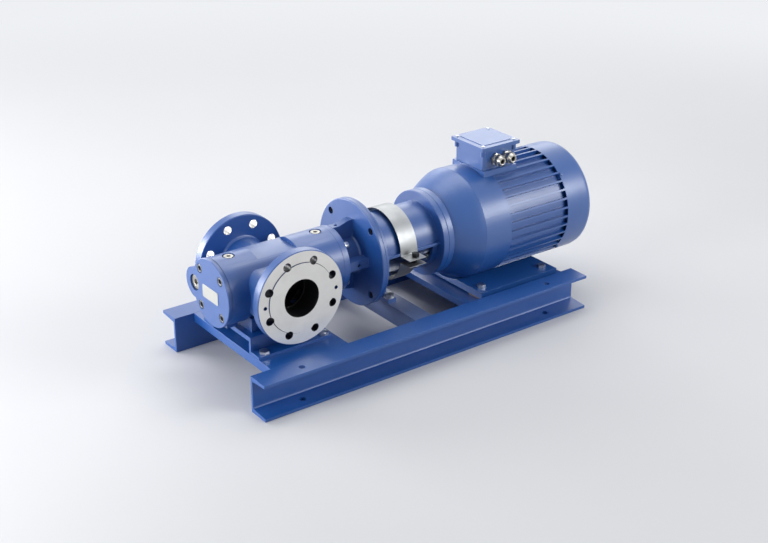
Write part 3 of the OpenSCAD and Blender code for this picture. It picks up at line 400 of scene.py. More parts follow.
@dataclass(frozen=True)
class Finish:
    """A real material with the marks of how its surface was made.

    The pattern is drawn on Object coordinates, which are metres in the row frame, so a scale
    is one over the real size in metres.
    """

    name: str
    colour: str
    shade: str
    roughness: float
    texture: Texture
    metallic: float = 0.0
    grain_mm: float = 1.6
    relief_mm: float = 0.03
    patch_mm: float = 60.0
    patch: float = 0.35
    coat: float = 0.0
    coat_roughness: float = 0.1
    coat_ior: float = 1.5
    specular: float = 0.5
    ior: float = 1.5
    centre: tuple[float, float, float] = (0.0, 0.0, SHAFT_Z * MM)
    along: Along = Along.X

    def material(self) -> bpy.types.Material:
        """Gives the finish's material, made once and shared."""
        found = bpy.data.materials.get(self.name)
        return found if found else self._make()

    def _make(self) -> bpy.types.Material:
        """Builds the node tree: patchy colour, uneven gloss and the marks of the process."""
        made = bpy.data.materials.new(self.name)
        made.use_nodes = True
        tree = made.node_tree
        tree.nodes.clear()
        coordinates = add_node(tree, "TexCoord").outputs["Object"]
        patches = add_node(tree, "TexNoise", {}, {
            "Scale": 1 / (self.patch_mm * MM), "Detail": 3.0, "Roughness": 0.55},
            {"Vector": coordinates})
        ramp = add_node(tree, "MapRange", {}, {
            "From Min": PATCH_FROM, "From Max": BLOTCH_TO, "To Min": 0.0, "To Max": self.patch},
            {"Value": patches.outputs["Fac"]})
        tint = add_node(tree, "Mix", {"data_type": "RGBA"}, {
            6: linear(self.colour), 7: linear(self.shade)}, {0: ramp.outputs["Result"]})
        height = self._marks(tree, coordinates)
        gloss = add_node(tree, "MapRange", {}, {
            "From Min": GLOSS_FROM, "From Max": BLOTCH_TO, "To Min": self.roughness * GLOSS_LOW,
            "To Max": min(1.0, self.roughness * GLOSS_HIGH)}, {"Value": patches.outputs["Fac"]})
        bump = add_node(tree, "Bump", {}, {
            "Strength": 1.0, "Distance": self.relief_mm * MM}, {"Height": height})
        shader = add_node(tree, "BsdfPrincipled", {}, {
            "Metallic": self.metallic, "IOR": self.ior, "Specular IOR Level": self.specular,
            "Coat Weight": self.coat, "Coat Roughness": self.coat_roughness,
            "Coat IOR": self.coat_ior}, {
            "Base Color": tint.outputs[2], "Roughness": gloss.outputs["Result"],
            "Normal": bump.outputs["Normal"]})
        add_node(tree, "OutputMaterial", {}, {}, {"Surface": shader.outputs["BSDF"]})
        return made

    def _marks(self, tree: bpy.types.NodeTree,
               coordinates: bpy.types.NodeSocket) -> bpy.types.NodeSocket:
        """Height pattern of the process: sand grain, turning rings, brush lines, stacked sheets.

        Args:
            tree: The material's node tree.
            coordinates: The Object coordinates.

        Returns:
            The socket that holds the height.
        """
        grain = 1 / (self.grain_mm * MM)
        if self.texture in (Texture.TURNED, Texture.STACKED, Texture.WOUND):
            moved = add_node(tree, "Mapping", {"vector_type": "POINT"}, {
                "Location": tuple(-c for c in self.centre)}, {"Vector": coordinates})
            kind = "BANDS" if self.texture is Texture.STACKED else "RINGS"
            settings = {"wave_type": kind, "wave_profile": "SIN"}
            settings["bands_direction" if kind == "BANDS" else "rings_direction"] = self.along.name
            wave = add_node(tree, "TexWave", settings, {
                "Scale": grain * WAVE_SCALE, "Distortion": 0.15, "Detail": 1.0,
                "Detail Scale": 3.0}, {"Vector": moved.outputs["Vector"]})
            return wave.outputs["Fac"]
        if self.texture is Texture.BRUSHED:
            stretch = [1.0, 1.0, 1.0]
            stretch[self.along.value] = 1 / BRUSH_LENGTH
            lines = add_node(tree, "Mapping", {"vector_type": "POINT"}, {
                "Scale": tuple(stretch)}, {"Vector": coordinates})
            noise = add_node(tree, "TexNoise", {}, {
                "Scale": grain, "Detail": 2.0}, {"Vector": lines.outputs["Vector"]})
            return noise.outputs["Fac"]
        noise = add_node(tree, "TexNoise", {}, {
            "Scale": grain, "Detail": 3.0 if self.texture is Texture.CAST else 1.0,
            "Roughness": 0.5}, {"Vector": coordinates})
        return noise.outputs["Fac"]

    def dress(self, obj: bpy.types.Object) -> None:
        """Gives a CAD node this finish."""
        obj.data.materials.clear()
        obj.data.materials.append(self.material())


class Finishes:
    """The finishes of this machine, named for what the real surfaces are and, on two, for the
    painted shade they carry.
    """

    # Sprayed gloss enamel over cast iron: deep blue where it turns from the lamps, and a broad pale
    # haze where it faces them, with the sand grain faintly telegraphed.
    cast_enamel = Finish("enamel_on_cast_iron", "#094d98", "#07448a", 0.5, Texture.CAST,
                         grain_mm=3.2, relief_mm=0.09, patch_mm=70, coat=1.0, coat_roughness=0.36,
                         specular=0.4, coat_ior=1.62)
    # The same enamel over rolled steel: flatter, with a fine orange peel.
    sheet_enamel = Finish("enamel_on_rolled_steel", "#094f9c", "#07468d", 0.5, Texture.SHEET,
                          grain_mm=5.0, relief_mm=0.05, patch_mm=120, coat=0.85,
                          coat_roughness=0.36, specular=0.4)
    # Enamel of the motor castings, a touch lighter than the pump's.
    motor_enamel = Finish("enamel_on_motor_castings", "#0b4f99", "#08468b", 0.5, Texture.CAST,
                          grain_mm=3.6, relief_mm=0.07, patch_mm=90, coat=1.0, coat_roughness=0.36,
                          specular=0.4, coat_ior=1.62)
    # Thin enamel over grey primer on the square tube: pale, flat blue-grey.
    thin_enamel = Finish("thin_enamel_on_square_tube", "#4c6190", "#3d527f", 0.5, Texture.SHEET,
                         grain_mm=5.0, relief_mm=0.04, patch_mm=80, coat=0.6, coat_roughness=0.4)
    # Faced flange: bright turned iron with fine rings about the port axis, drawn 3.2 mm apart.
    faced_iron = Finish("faced_cast_iron_flange", "#e4e3df", "#d0cfcb", 0.38, Texture.TURNED,
                        metallic=0.75, grain_mm=1.6, relief_mm=0.02, patch_mm=45, patch=0.5,
                        centre=(-0.327, 0.0, SHAFT_Z * MM), along=Along.Y)
    # Oiled casting painted nearly black: oil and painted shade inside the ports, holes and
    # chambers, painted shade at the raised face's step; a little wet.
    oil_and_painted_shade = Finish("oil_on_cast_iron_painted_shade", "#101114", "#1b1c20", 0.45, Texture.CAST, grain_mm=2.5,
                        relief_mm=0.1)
    # Zinc-plated fasteners: bright grey with a faint cloudiness.
    zinc = Finish("bright_zinc_plated_steel", "#c9ccd0", "#aeb2b8", 0.3, Texture.PLATED,
                  metallic=1.0, grain_mm=1.2, relief_mm=0.01, patch_mm=6, patch=0.6)
    # The same plating in a darker grey, on the screws sunk in the cover.
    dull_zinc = Finish("dull_zinc_plated_steel", "#80848b", "#6a6e75", 0.4, Texture.PLATED,
                       metallic=1.0, grain_mm=1.2, relief_mm=0.01, patch_mm=5, patch=0.6)
    # Black-oxide socket screws: dark, slightly oily.
    black_oxide = Finish("black_oxide_steel", "#2b2d31", "#1c1d20", 0.4, Texture.PLATED,
                         metallic=0.8, grain_mm=1.0, relief_mm=0.01, patch_mm=5)
    # Stainless sheet, brushed round the tube: long fine lines that blur reflections one way.
    stainless = Finish("brushed_stainless_sheet", "#a0a2a3", "#888b8d", 0.46, Texture.BRUSHED,
                       metallic=1.0, grain_mm=0.8, relief_mm=0.008, patch_mm=40, along=Along.Y)
    # Nickel-plated brass glands: warm bright metal.
    nickel = Finish("nickel_plated_brass", "#b9b6ae", "#9d998f", 0.3, Texture.PLATED, metallic=1.0,
                    grain_mm=1.0, relief_mm=0.006, patch_mm=5, patch=0.5)
    # Ground shafts and screws: fine rings round the shaft.
    ground_steel = Finish("ground_alloy_steel", "#b4b8bd", "#8f949b", 0.25, Texture.TURNED,
                          metallic=1.0, grain_mm=0.9, relief_mm=0.006, patch_mm=30)
    # Polished bearing races and balls.
    bearing_steel = Finish("polished_bearing_steel", "#c6c9cd", "#a7abb1", 0.16, Texture.TURNED,
                           metallic=1.0, grain_mm=0.7, relief_mm=0.003, patch_mm=20)
    # Hard-drawn spring wire with a thin film of oil.
    spring_steel = Finish("oiled_spring_wire", "#5d6167", "#44474c", 0.3, Texture.PLATED,
                          metallic=1.0, grain_mm=0.8, relief_mm=0.004, patch_mm=5)
    # Turned bearing bronze: warm yellow-brown with tool rings.
    bronze = Finish("turned_bearing_bronze", "#b0854a", "#8f6a38", 0.32, Texture.TURNED,
                    metallic=1.0, grain_mm=1.2, relief_mm=0.012, patch_mm=25)
    # The same bronze painted dark under its oil film: painted shade where it stands in the suction
    # and pressure chambers.
    bronze_in_painted_shade = Finish("bronze_darkened_as_painted_shade", "#2a2118", "#1c1712", 0.5, Texture.TURNED,
                          metallic=0.5, grain_mm=1.2, relief_mm=0.012, patch_mm=25)
    # Rolled shim stock with a brown oil stain.
    shim_stock = Finish("oil_stained_shim_stock", "#8a7558", "#6b5a44", 0.42, Texture.BRUSHED,
                        metallic=0.8, grain_mm=0.9, relief_mm=0.01, patch_mm=12, patch=0.7)
    # Machined grey iron of the coupling hubs.
    grey_iron = Finish("machined_grey_iron", "#5c6066", "#47494e", 0.38, Texture.TURNED,
                       metallic=0.85, grain_mm=1.4, relief_mm=0.02, patch_mm=18)
    # Pressed seal carbon: matt, nearly black.
    seal_carbon = Finish("lapped_seal_carbon", "#26272a", "#1c1d1f", 0.5, Texture.TURNED,
                         grain_mm=0.8, relief_mm=0.004, patch_mm=10)
    # Polyurethane spider: dense red, waxy sheen.
    polyurethane = Finish("red_polyurethane", "#a52f24", "#8c261d", 0.42, Texture.MOULDED,
                          grain_mm=2.0, relief_mm=0.02, patch_mm=15)
    # Nitrile rubber rings.
    nitrile = Finish("nitrile_rubber", "#17181a", "#101112", 0.55, Texture.MOULDED, grain_mm=1.2,
                     relief_mm=0.01, patch_mm=10)
    # Glass-filled nylon of the fan and the terminal board.
    nylon = Finish("black_glass_filled_nylon", "#1d1e21", "#141517", 0.5, Texture.MOULDED,
                   grain_mm=1.5, relief_mm=0.03, patch_mm=20)
    # Laminated core: the edges of stacked sheets as fine lines across the shaft, drawn 4 mm apart.
    laminations = Finish("stacked_core_laminations", "#7c8087", "#5b5f66", 0.42, Texture.STACKED,
                         metallic=0.9, grain_mm=2.0, relief_mm=0.05, patch_mm=30)
    # Varnished copper windings, the turns drawn 4.8 mm apart.
    windings = Finish("varnished_copper_winding", "#a4572a", "#7c3f1f", 0.35, Texture.WOUND,
                      metallic=0.5, grain_mm=2.4, relief_mm=0.25, patch_mm=12, coat=0.6,
                      coat_roughness=0.12)
    # Bare aluminium label blank: pale, faintly grained.
    label_blank = Finish("plain_anodised_label_blank", "#bdbeba", "#adaeab", 0.45, Texture.BRUSHED,
                         metallic=0.35, grain_mm=1.0, relief_mm=0.006, patch_mm=25)
    # Dull nickel of the threaded plugs.
    plug_nickel = Finish("dull_nickel_plug", "#b0aea7", "#96948e", 0.36, Texture.TURNED,
                         metallic=0.85, grain_mm=1.0, relief_mm=0.01, patch_mm=8)


# Softened copies of CAD nodes


@dataclass
class Softener:
    """Copies CAD nodes, merges their loose triangles and rounds their edges.

    Triangles that turn less than flat_deg degrees from each other are one flat face.
    """

    nodes: dict[str, bpy.types.Object]
    flat_deg: float = 0.05

    def copy(self, node: str, finish: Finish, slot: str, width: float) -> bpy.types.Object:
        """Makes the rounded copy of one node and lets it stand for the node.

        Args:
            node: The CAD node.
            finish: Its finish.
            slot: Not used.
            width: Width of the rounded edges in millimetres.

        Returns:
            The new object.
        """
        mesh = self.nodes[node].data.copy()
        mesh.name = node + "_finished"
        work = bmesh.new()
        work.from_mesh(mesh)
        bmesh.ops.remove_doubles(work, verts=work.verts, dist=SEAM_M)
        bmesh.ops.dissolve_limit(work, angle_limit=math.radians(self.flat_deg), verts=work.verts,
                                 edges=work.edges, use_dissolve_boundaries=False)
        work.to_mesh(mesh)
        work.free()
        obj = bpy.data.objects.new(mesh.name, mesh)
        bevel = obj.modifiers.new("edges", "BEVEL")
        bevel.width = width * MM
        bevel.segments = 2
        bevel.limit_method = "ANGLE"
        bevel.angle_limit = math.radians(ROUNDED)
        normals = obj.modifiers.new("flat_faces", "WEIGHTED_NORMAL")
        normals.keep_sharp = True
        return settle(obj, finish, (node,), CREASE)


# Sub-assemblies


def cap_head(radius: float, height: float) -> list[np.ndarray]:
    """Rings of a round head with a 0.3 mm edge at its foot and a 0.9 mm one at its top."""
    return [circle(radius - 0.3, 0), circle(radius, 0.3), circle(radius, height - 0.9),
            circle(radius - 0.25, height - 0.3), circle(radius - 0.9, height)]


def hex_head(half: float, height: float) -> list[np.ndarray]:
    """Rings of a hexagon head: a washer face 0.4 mm high and 0.93 of the width across flats, the
    flats, and a top turned off at 30 degrees."""
    return [circle(0.93 * half, 0), circle(0.93 * half, 0.4), hexagon(half, 0.4),
            hexagon(half, height, 0.96 * half), circle(0.93 * half, height)]


@dataclass
class Fastener:
    """A screw, bolt or plug made ring by ring from tip to head, its bearing face at zero.

    Attributes:
        radius: Of the shank.
        length: Of the shank, or 0 where it doesn't show.
        head: Radius of a round head, or half the width across flats.
        height: Of the head.
        hexagonal: Whether the head is a hexagon.
        socket: Half the width across the socket's flats, or 0 for none.
        depth: Of the socket.
        pitch: Of the thread that shows, or 0 for none.
        threaded: Length of that thread from the tip.
        nut_below: How far the nut's bearing face lies below the head's.
        nut_half: Half the nut's width across flats, or 0 for none.
        nut_height: Of the nut.
        washer: Outer radius of the washer, or 0 for none.
    """

    radius: float
    length: float
    head: float
    height: float
    hexagonal: bool = False
    socket: float = 0.0
    depth: float = 0.0
    pitch: float = 0.0
    threaded: float = 0.0
    nut_below: float = 0.0
    nut_half: float = 0.0
    nut_height: float = 0.0
    washer: float = 0.0

    def shank(self) -> list[np.ndarray]:
        """Rings of the shank. A rolled thread's radius is r - d |1 - 2 frac(z / p - a / 2 pi)|,
        with the depth d 0.54 of the pitch p and a the turn.

        Returns:
            Rings from the tip to the bearing face.
        """
        low, r = -self.length, self.radius
        if not self.length:
            return [circle(0, 0)]
        rings = [circle(0, low), circle(r * 0.82, low), circle(r, low + 0.25 * r)]
        if self.pitch:
            for z in np.arange(low + 0.3 * r, low + self.threaded, self.pitch / 6):
                wave = np.abs(1 - 2 * ((z / self.pitch - TURN / (2 * np.pi)) % 1.0))
                rings.append(circle(r - 0.54 * self.pitch * wave, z))
        return rings + [circle(r, low + max(self.threaded, 0.3 * r)), circle(r, 0)]

    def top(self) -> list[np.ndarray]:
        """Rings of the head, its socket included, whose edge is turned off 0.5 mm deep."""
        h = self.height
        rings = hex_head(self.head, h) if self.hexagonal else cap_head(self.head, h)
        if not self.socket:
            return rings + [circle(0, h)]
        floor = h - self.depth
        return rings + [circle(1.22 * self.socket, h), hexagon(self.socket, h - 0.5),
                        hexagon(self.socket, floor), circle(0, floor)]

    def add(self, surface: Surface, at: Sequence[float], axis: Sequence[float],
            turn: float) -> None:
        """Adds the fastener, and if it has them its washer, 2.5 mm thick, and its nut, which stands
        11 degrees from the head.

        Args:
            surface: Where it goes.
            at: Middle of the bearing face.
            axis: Direction of the head.
            turn: Degrees about the axis.
        """
        away = -np.asarray(axis, float)
        if self.washer:
            hole, rim, h, edge = self.radius + 0.55, self.washer, 2.5, 0.3
            profile = np.array([[0, hole], [0, rim - edge], [edge, rim], [h - edge, rim],
                                [h, rim - edge], [h, hole]])
            surface.turned(profile, np.asarray(at, float) + away * h, axis)
        surface.rings(self.shank() + self.top(), at, axis, turn)
        if self.nut_half:
            h = self.nut_height
            rings = [circle(0, 0)] + hex_head(self.nut_half, h)
            rings += [circle(self.radius + 0.6, h), circle(self.radius, h - 0.6),
                      circle(0, h - 0.6)]
            surface.rings(rings, np.asarray(at, float) + away * self.nut_below, away, turn + 11)


# Every X, every Y and the one height at which fasteners stand upright
Grid = tuple[tuple[float, ...], tuple[float, ...], float]


@dataclass
class Fasteners:
    """Every screw, bolt and plug that shows, each at its place in drawing millimetres."""

    cover_y: float = 40.0
    flange_r: float = 102.0
    motor_r: float = 57.5
    cowl_r: float = 125.0
    cover_seat_x: float = 17.6
    bracket_seat_x: float = 297.1
    flange_seat_x: float = 352.0
    motor_seat_x: float = 528.0
    cowl_screw_x: float = 863.0
    valve_y: float = 64.0
    plugs: Grid = ((50.0, 257.0), (0.0,), 248.0)
    pump_foot: Grid = ((66.0, 208.0), (-97.5, 97.5), 86.0)
    bracket_top: Grid = ((88.0, 200.0), (-36.0, 36.0), 107.0)
    lantern_foot: Grid = ((414.0,), (-46.0, 46.0), 92.5)
    motor_foot: Grid = ((621.0, 799.0), (-108.0, 108.0), 81.0)
    band_bolt: tuple[float, float] = (444.0, -98.0)
    band_nut_z: float = 181.5
    usual_turns: tuple[float, ...] = (7, 31, 16, 49)

    def around(self, x: float, radius: float) -> list[tuple[float, float, float]]:
        """Four places at one X and at 45 degrees on a circle about the shaft."""
        turn = np.radians([45, 135, 225, 315])
        return [(x, radius * math.cos(a), SHAFT_Z + radius * math.sin(a)) for a in turn]

    def square(self, x: float) -> list[tuple[float, float, float]]:
        """Places of the four screws of the end cover or of the drive bracket, at one X."""
        sides = (-self.cover_y, self.cover_y)
        return [(x, y, SHAFT_Z + z) for y in sides for z in sides]

    def level(self, x: Sequence[float], y: Sequence[float],
              z: float) -> list[tuple[float, float, float]]:
        """Places at every pair of an X and a Y, at one height."""
        return [(a, b, z) for a in x for b in y]

    def put(self, node: str, kind: Fastener, places: Sequence[Sequence[float]],
            axis: Sequence[Any], finish: Finish, turns: Sequence[float] = (),
            slot: str = "zinc") -> None:
        """Builds one node's fasteners, each turned a little differently.

        Args:
            node: The CAD node that they stand for.
            kind: The fastener.
            places: Middles of the bearing faces.
            axis: Direction of the heads, one for all or one for each.
            finish: What they are made of.
            turns: Degrees about the axis, or none for the usual ones.
            slot: Not used.
        """
        surface = Surface()
        ways = np.broadcast_to(axis, (len(places), 3))
        for at, way, turn in zip(places, ways, turns or self.usual_turns):
            kind.add(surface, at, way, turn)
        surface.build(node + "_made", finish, slot, replaces=(node,))

    def build(self) -> None:
        """Builds all the fasteners, pump end first."""
        zinc, dark, nickel = Finishes.zinc, Finishes.black_oxide, Finishes.plug_nickel
        self.put("end_cover_screws", Fastener(5.95, 26, 9, 12, socket=5, depth=6.6),
                 self.square(self.cover_seat_x), LEFT, Finishes.dull_zinc)
        self.put("drive_bracket_screws", Fastener(5.95, 35.5, 9, 12, socket=5, depth=6.6),
                 self.square(self.bracket_seat_x), RIGHT, zinc)
        self.put("relief_valve_plug", Fastener(12.95, 20.4, 16, 9, socket=6, depth=8),
                 [(self.cover_seat_x, self.valve_y, SHAFT_Z)], LEFT, nickel, slot="nickel")
        self.put("top_plugs", Fastener(10, 0, 10.45, 19, socket=4, depth=7),
                 self.level(*self.plugs), UP, nickel, slot="nickel")
        bolt = Fastener(6, 40, 9.5, 6.2, True, pitch=1.75, threaded=14, nut_below=26,
                        nut_half=9.5, nut_height=5.5)
        self.put("pump_foot_bolts", bolt, self.level(*self.pump_foot), UP, zinc)
        self.put("pump_foot_screws", Fastener(5.95, 24, 9, 12, socket=5, depth=6),
                 self.level(*self.bracket_top), DOWN, zinc)
        self.put("lantern_foot_bolts", Fastener(5.95, 20.5, 9.5, 7.2, True, washer=11.5),
                 self.level(*self.lantern_foot), UP, zinc, (12, 38))
        self.put("lantern_flange_screws", Fastener(3.95, 9.5, 6.5, 3.5, socket=2.5, depth=2.2),
                 self.around(self.flange_seat_x, self.flange_r), LEFT, dark)
        self.put("lantern_motor_screws", Fastener(4.95, 19, 7.5, 8, socket=4, depth=4.5),
                 self.around(self.motor_seat_x, self.motor_r), LEFT, zinc)
        clamp = Fastener(3.95, 24, 7, 8.5, True, pitch=1.25, threaded=22)
        self.put("guard_band_bolt", clamp, [(*self.band_bolt, SHAFT_Z)], UP, dark)
        nut = Surface()
        Fastener(3.95, 0, 6.5, 6, True).add(nut, (*self.band_bolt, self.band_nut_z), DOWN, 20)
        nut.build("guard_band_nut", zinc, "zinc")
        bolt = Fastener(5, 46, 8.5, 6.4, True, pitch=1.5, threaded=13, nut_below=34,
                        nut_half=8.5, nut_height=6.4)
        self.put("motor_foot_bolts", bolt, self.level(*self.motor_foot), UP, zinc)
        places = self.around(self.cowl_screw_x, self.cowl_r)
        self.put("fan_cowl_screws", Fastener(2.45, 12, 4, 3, True), places,
                 [(0, y, z - SHAFT_Z) for _, y, z in places], Finishes.motor_enamel,
                 (5, 20, 44, 33))


@dataclass
class BaseFrame:
    """Channel beams with their rolled roots, cross plate, tube and motor bars."""

    soft: Softener
    edge: float = 1.2
    tube_edge: float = 1.6
    length: float = 850.0
    back_y: float = 152.0
    web: float = 6.0
    flange: float = 8.0
    height: float = 80.0
    root: float = 8.0
    root_inset: float = 0.4
    bars: tuple[tuple[float, float], ...] = ((564.0, 668.0), (742.0, 846.0))
    bar_z: float = 62.0
    bead: float = 5.0
    bead_inset: float = 1.0

    def build(self) -> None:
        """Builds every piece of the base."""
        for node in ("front_beam", "rear_beam", "pump_cross_plate", "motor_cross_bars",
                     "pump_foot_bracket"):
            self.soft.copy(node, Finishes.sheet_enamel, "base_paint", self.edge)
        self.soft.copy("middle_cross_member", Finishes.thin_enamel, "member_paint", self.tube_edge)
        self.roots()
        self.beads()

    def roots(self) -> None:
        """Adds the rolled radii between web and flanges, carried along the beams."""
        surface = Surface()
        y, r, inset = self.back_y + self.web, self.root, self.root_inset
        for side in (-1, 1):
            for z, up in ((self.flange, 1), (self.height - self.flange, -1)):
                outline = cove((side * y, z + up * r), (side * y, z), (side * (y + r), z))
                surface.along_x(outline, inset, self.length - inset)
        surface.build("beam_root_radii", Finishes.sheet_enamel, "base_paint", sharp=50)

    def beads(self) -> None:
        """Adds the painted weld beads where the motor bars meet the beams' backs."""
        surface = Surface()
        z = self.bar_z
        for side in (-1, 1):
            y = side * self.back_y
            outline = cove((y, z + self.bead), (y, z), (y - side * self.bead, z))
            for low, high in self.bars:
                surface.along_x(outline, low + self.bead_inset, high - self.bead_inset)
        surface.build("motor_bar_weld_beads", Finishes.sheet_enamel, "base_paint", sharp=50)


@dataclass
class Pump:
    """Barrel casting, cover, drive bracket, label blank and what shows on them."""

    soft: Softener
    face_y: float = 123.0
    flange_back_y: float = 100.0
    port_x: float = 140.0
    bore_r: float = 42.0
    mouth_y: float = 121.0
    throat_y: float = 38.0
    shelf_y: float = 75.5
    cavity_r: float = 61.0
    bolt_circle: float = 80.0
    bolts: int = 8
    hole_r: float = 9.8
    step_r: float = 74.5
    step_gap: float = 0.107
    line_at: tuple[float, float] = (0.5, 0.6)
    line_half: tuple[float, float] = (0.55, 0.45)
    label_half: tuple[float, float, float] = (30.0, 14.0, 3.0)
    label_at: tuple[float, float, float] = (5.6, 0.0, 194.0)

    def build(self) -> None:
        """Builds the pump's castings."""
        self.face(self.soft.copy("pump_housing", Finishes.cast_enamel, "pump_paint", 0.6))
        self.painted_shade_line()
        for node, width in (("end_cover", 0.7), ("drive_bracket", 1.2)):
            self.soft.copy(node, Finishes.cast_enamel, "pump_paint", width)
        wide, top = np.array(self.label_half), np.array(self.label_half) - 0.3
        rings = [plate_ring(*wide, 0), plate_ring(*wide, 0.7), plate_ring(*top, 1.0)]
        Surface().rings(rings, self.label_at, LEFT, caps=True).build(
            "label_blank", Finishes.label_blank, "plate", replaces=("nameplate",), sharp=40)

    def painted_shade_line(self) -> None:
        """Adds a dark line of painted shade in the corner at the foot of the raised face: eight
        arcs between the bolt holes, each a small oval carried along the step."""
        surface = Surface()
        turn = np.linspace(0, 2 * np.pi, 8, endpoint=False)
        reach = self.step_r + self.line_at[0] + self.line_half[0] * np.cos(turn)
        y = self.line_half[1] * np.sin(turn) - self.face_y - self.line_at[1]
        half = np.pi / self.bolts - self.step_gap
        for middle in 2 * np.pi * np.arange(self.bolts) / self.bolts:
            a = np.linspace(middle - half, middle + half, 24)[:, None]
            x = self.port_x + reach * np.cos(a)
            surface.grid(np.stack([x, y + 0 * a, SHAFT_Z + reach * np.sin(a)], -1), caps=True)
        surface.build("raised_face_painted_shade_line", Finishes.oil_and_painted_shade, "black_plastic")

    def face(self, housing: bpy.types.Object) -> None:
        """Gives the front flange's faced side and the rear flange's holes bare iron, and the front
        flange's holes, the ports and the chamber walls near-black iron, part oil and part painted
        shade.

        Args:
            housing: The housing's copy, whose faces are sorted by place and direction.
        """
        mesh = housing.data
        mesh.materials.append(Finishes.faced_iron.material())
        mesh.materials.append(Finishes.oil_and_painted_shade.material())
        bare, oil_and_shade = 1, 2
        found = np.zeros((2, len(mesh.polygons) * 3))
        mesh.polygons.foreach_get("center", found[0])
        mesh.polygons.foreach_get("normal", found[1])
        centre = found[0].reshape(-1, 3) / MM
        normal_y = found[1].reshape(-1, 3)[:, 1]
        x, y, z = centre[:, 0] + HALF_LENGTH - self.port_x, centre[:, 1], centre[:, 2] - SHAFT_Z
        reach, depth = np.hypot(x, z), np.abs(y)
        turn = (np.arange(self.bolts) + 0.5) * 2 * np.pi / self.bolts
        holes = self.bolt_circle * np.stack([np.cos(turn), np.sin(turn)])
        near = np.min(np.hypot(x[:, None] - holes[0], z[:, None] - holes[1]), axis=1)
        level = np.abs(normal_y) < 0.5
        hole = (near < self.hole_r) & level
        bore = level & (depth < self.mouth_y)
        bore |= (depth < self.throat_y) | (np.abs(depth - self.shelf_y) < 1)
        chamber = (np.hypot(y, z) < self.cavity_r) & (reach < self.step_r) & (z < self.bore_r)
        index = np.zeros(len(centre), np.int32)
        index[(y < -self.face_y) & (normal_y < -0.3)] = bare
        index[hole & (y > self.flange_back_y)] = bare
        # Front holes, ports and chamber walls: near black, oil and painted shade in these recesses
        index[hole & (y < -self.flange_back_y)] = oil_and_shade
        index[(reach < self.bore_r) & bore] = oil_and_shade
        index[chamber] = oil_and_shade
        mesh.polygons.foreach_set("material_index", index)


@dataclass
class Lantern:
    """Coupling lantern with its brushed guard band."""

    soft: Softener
    band_low: float = 418.0
    band_high: float = 462.0
    radius: float = 80.69
    upper_z: float = 196.25
    lower_z: float = 182.25
    ear_y: float = -112.0
    bend: float = 2.5
    half: float = 0.5
    ear_half: float = 0.7
    ear_points: int = 9

    def build(self) -> None:
        """Builds the lantern and the band."""
        self.soft.copy("coupling_lantern", Finishes.cast_enamel, "pump_paint", 1.0)
        Surface().along_x(self.strip(), self.band_low, self.band_high).build(
            "guard_band_made", Finishes.stainless, "stainless", replaces=("guard_band",), sharp=50)

    def strip(self) -> np.ndarray:
        """Outline of the band seen along the shaft: two straight ears, two bends and one long arc,
        each point moved half the thickness to either side of the middle line.

        Returns:
            Closed outline of Y and Z.
        """
        r, b = self.radius, self.bend
        quarter = np.linspace(0, np.pi / 2, 7)[1:-1]
        first = math.pi - math.asin((self.upper_z + b - SHAFT_Z) / r)
        last = math.pi - math.asin((self.lower_z - b - SHAFT_Z) / r) - 2 * math.pi
        turn = np.linspace(first, last, 120)
        arc = np.stack([r * np.cos(turn), SHAFT_Z + r * np.sin(turn)], -1)
        y1, y2 = arc[0, 0], arc[-1, 0]
        upper = np.stack([y1 - b + b * np.sin(quarter), self.upper_z + b - b * np.cos(quarter)], -1)
        lower = np.stack([y2 - b + b * np.cos(quarter), self.lower_z - b + b * np.sin(quarter)], -1)
        start = np.array([[self.ear_y, self.upper_z], [y1 - b, self.upper_z]])
        end = np.array([[y2 - b, self.lower_z], [self.ear_y, self.lower_z]])
        line = np.concatenate([start, upper, arc, lower, end])
        along = np.gradient(line, axis=0)
        along[0], along[-1] = line[1] - line[0], line[-1] - line[-2]
        side = np.stack([-along[:, 1], along[:, 0]], -1)
        side /= np.linalg.norm(side, axis=1, keepdims=True)
        half = np.full((len(line), 1), self.half)
        half[:self.ear_points] = self.ear_half
        half[-self.ear_points:] = self.ear_half
        return np.concatenate([line + side * half, (line - side * half)[::-1]])


@dataclass
class Motor:
    """Shields, frame, cowl, feet, terminal box and its two open glands."""

    soft: Softener
    gland_x: tuple[float, float] = (703.0, 734.0)
    gland_y: float = -45.0
    gland_z: float = 344.0

    def build(self) -> None:
        """Builds the motor's castings and the glands."""
        for node, width in (("motor_drive_shield", 1.4), ("motor_frame", 0.8), ("motor_feet", 2.0),
                            ("motor_rear_shield", 0.8), ("fan_cowl", 0.6), ("terminal_box", 1.6),
                            ("terminal_lid", 1.2)):
            self.soft.copy(node, Finishes.motor_enamel, "motor_paint", width)
        self.soft.copy("terminal_lid_screws", Finishes.zinc, "zinc", 0.3)
        self.glands()

    def glands(self) -> None:
        """Builds the glands ring by ring, hollow right through, with their rubber rings."""
        body = [circle(5.1, -7), circle(7.4, -7), circle(7.95, -6.4), circle(7.95, 0),
                circle(11.9, 0), circle(11.9, 0.3), hexagon(12.5, 0.5), hexagon(12.5, 7, 12.1),
                circle(11.7, 7), circle(10.7, 7), circle(10.5, 7.3), circle(10.5, 11),
                circle(11.0, 11.1), hexagon(11.75, 11.7), hexagon(11.75, 19), circle(11.4, 19.3),
                circle(10.9, 20.2), circle(10.0, 22.6), circle(9.1, 24.8), circle(8.3, 25.8),
                circle(7.6, 26), circle(6.6, 26), circle(5.8, 25.6), circle(5.3, 24.8),
                circle(5.1, 23.6)]
        seal = [circle(3.4, 18), circle(5.15, 18), circle(5.15, 23.4), circle(4.6, 23.8),
                circle(3.9, 23.2), circle(3.4, 22)]
        shells, rings = Surface(), Surface()
        for x, turn in zip(self.gland_x, (9, 24)):
            at = (x, self.gland_y, self.gland_z)
            shells.rings(body, at, FRONT, turn, loop=True)
            rings.rings(seal, at, FRONT, loop=True)
        shells.build("cable_glands_made", Finishes.nickel, "nickel", replaces=("cable_glands",))
        rings.build("gland_rubber_rings", Finishes.nitrile, "rubber")


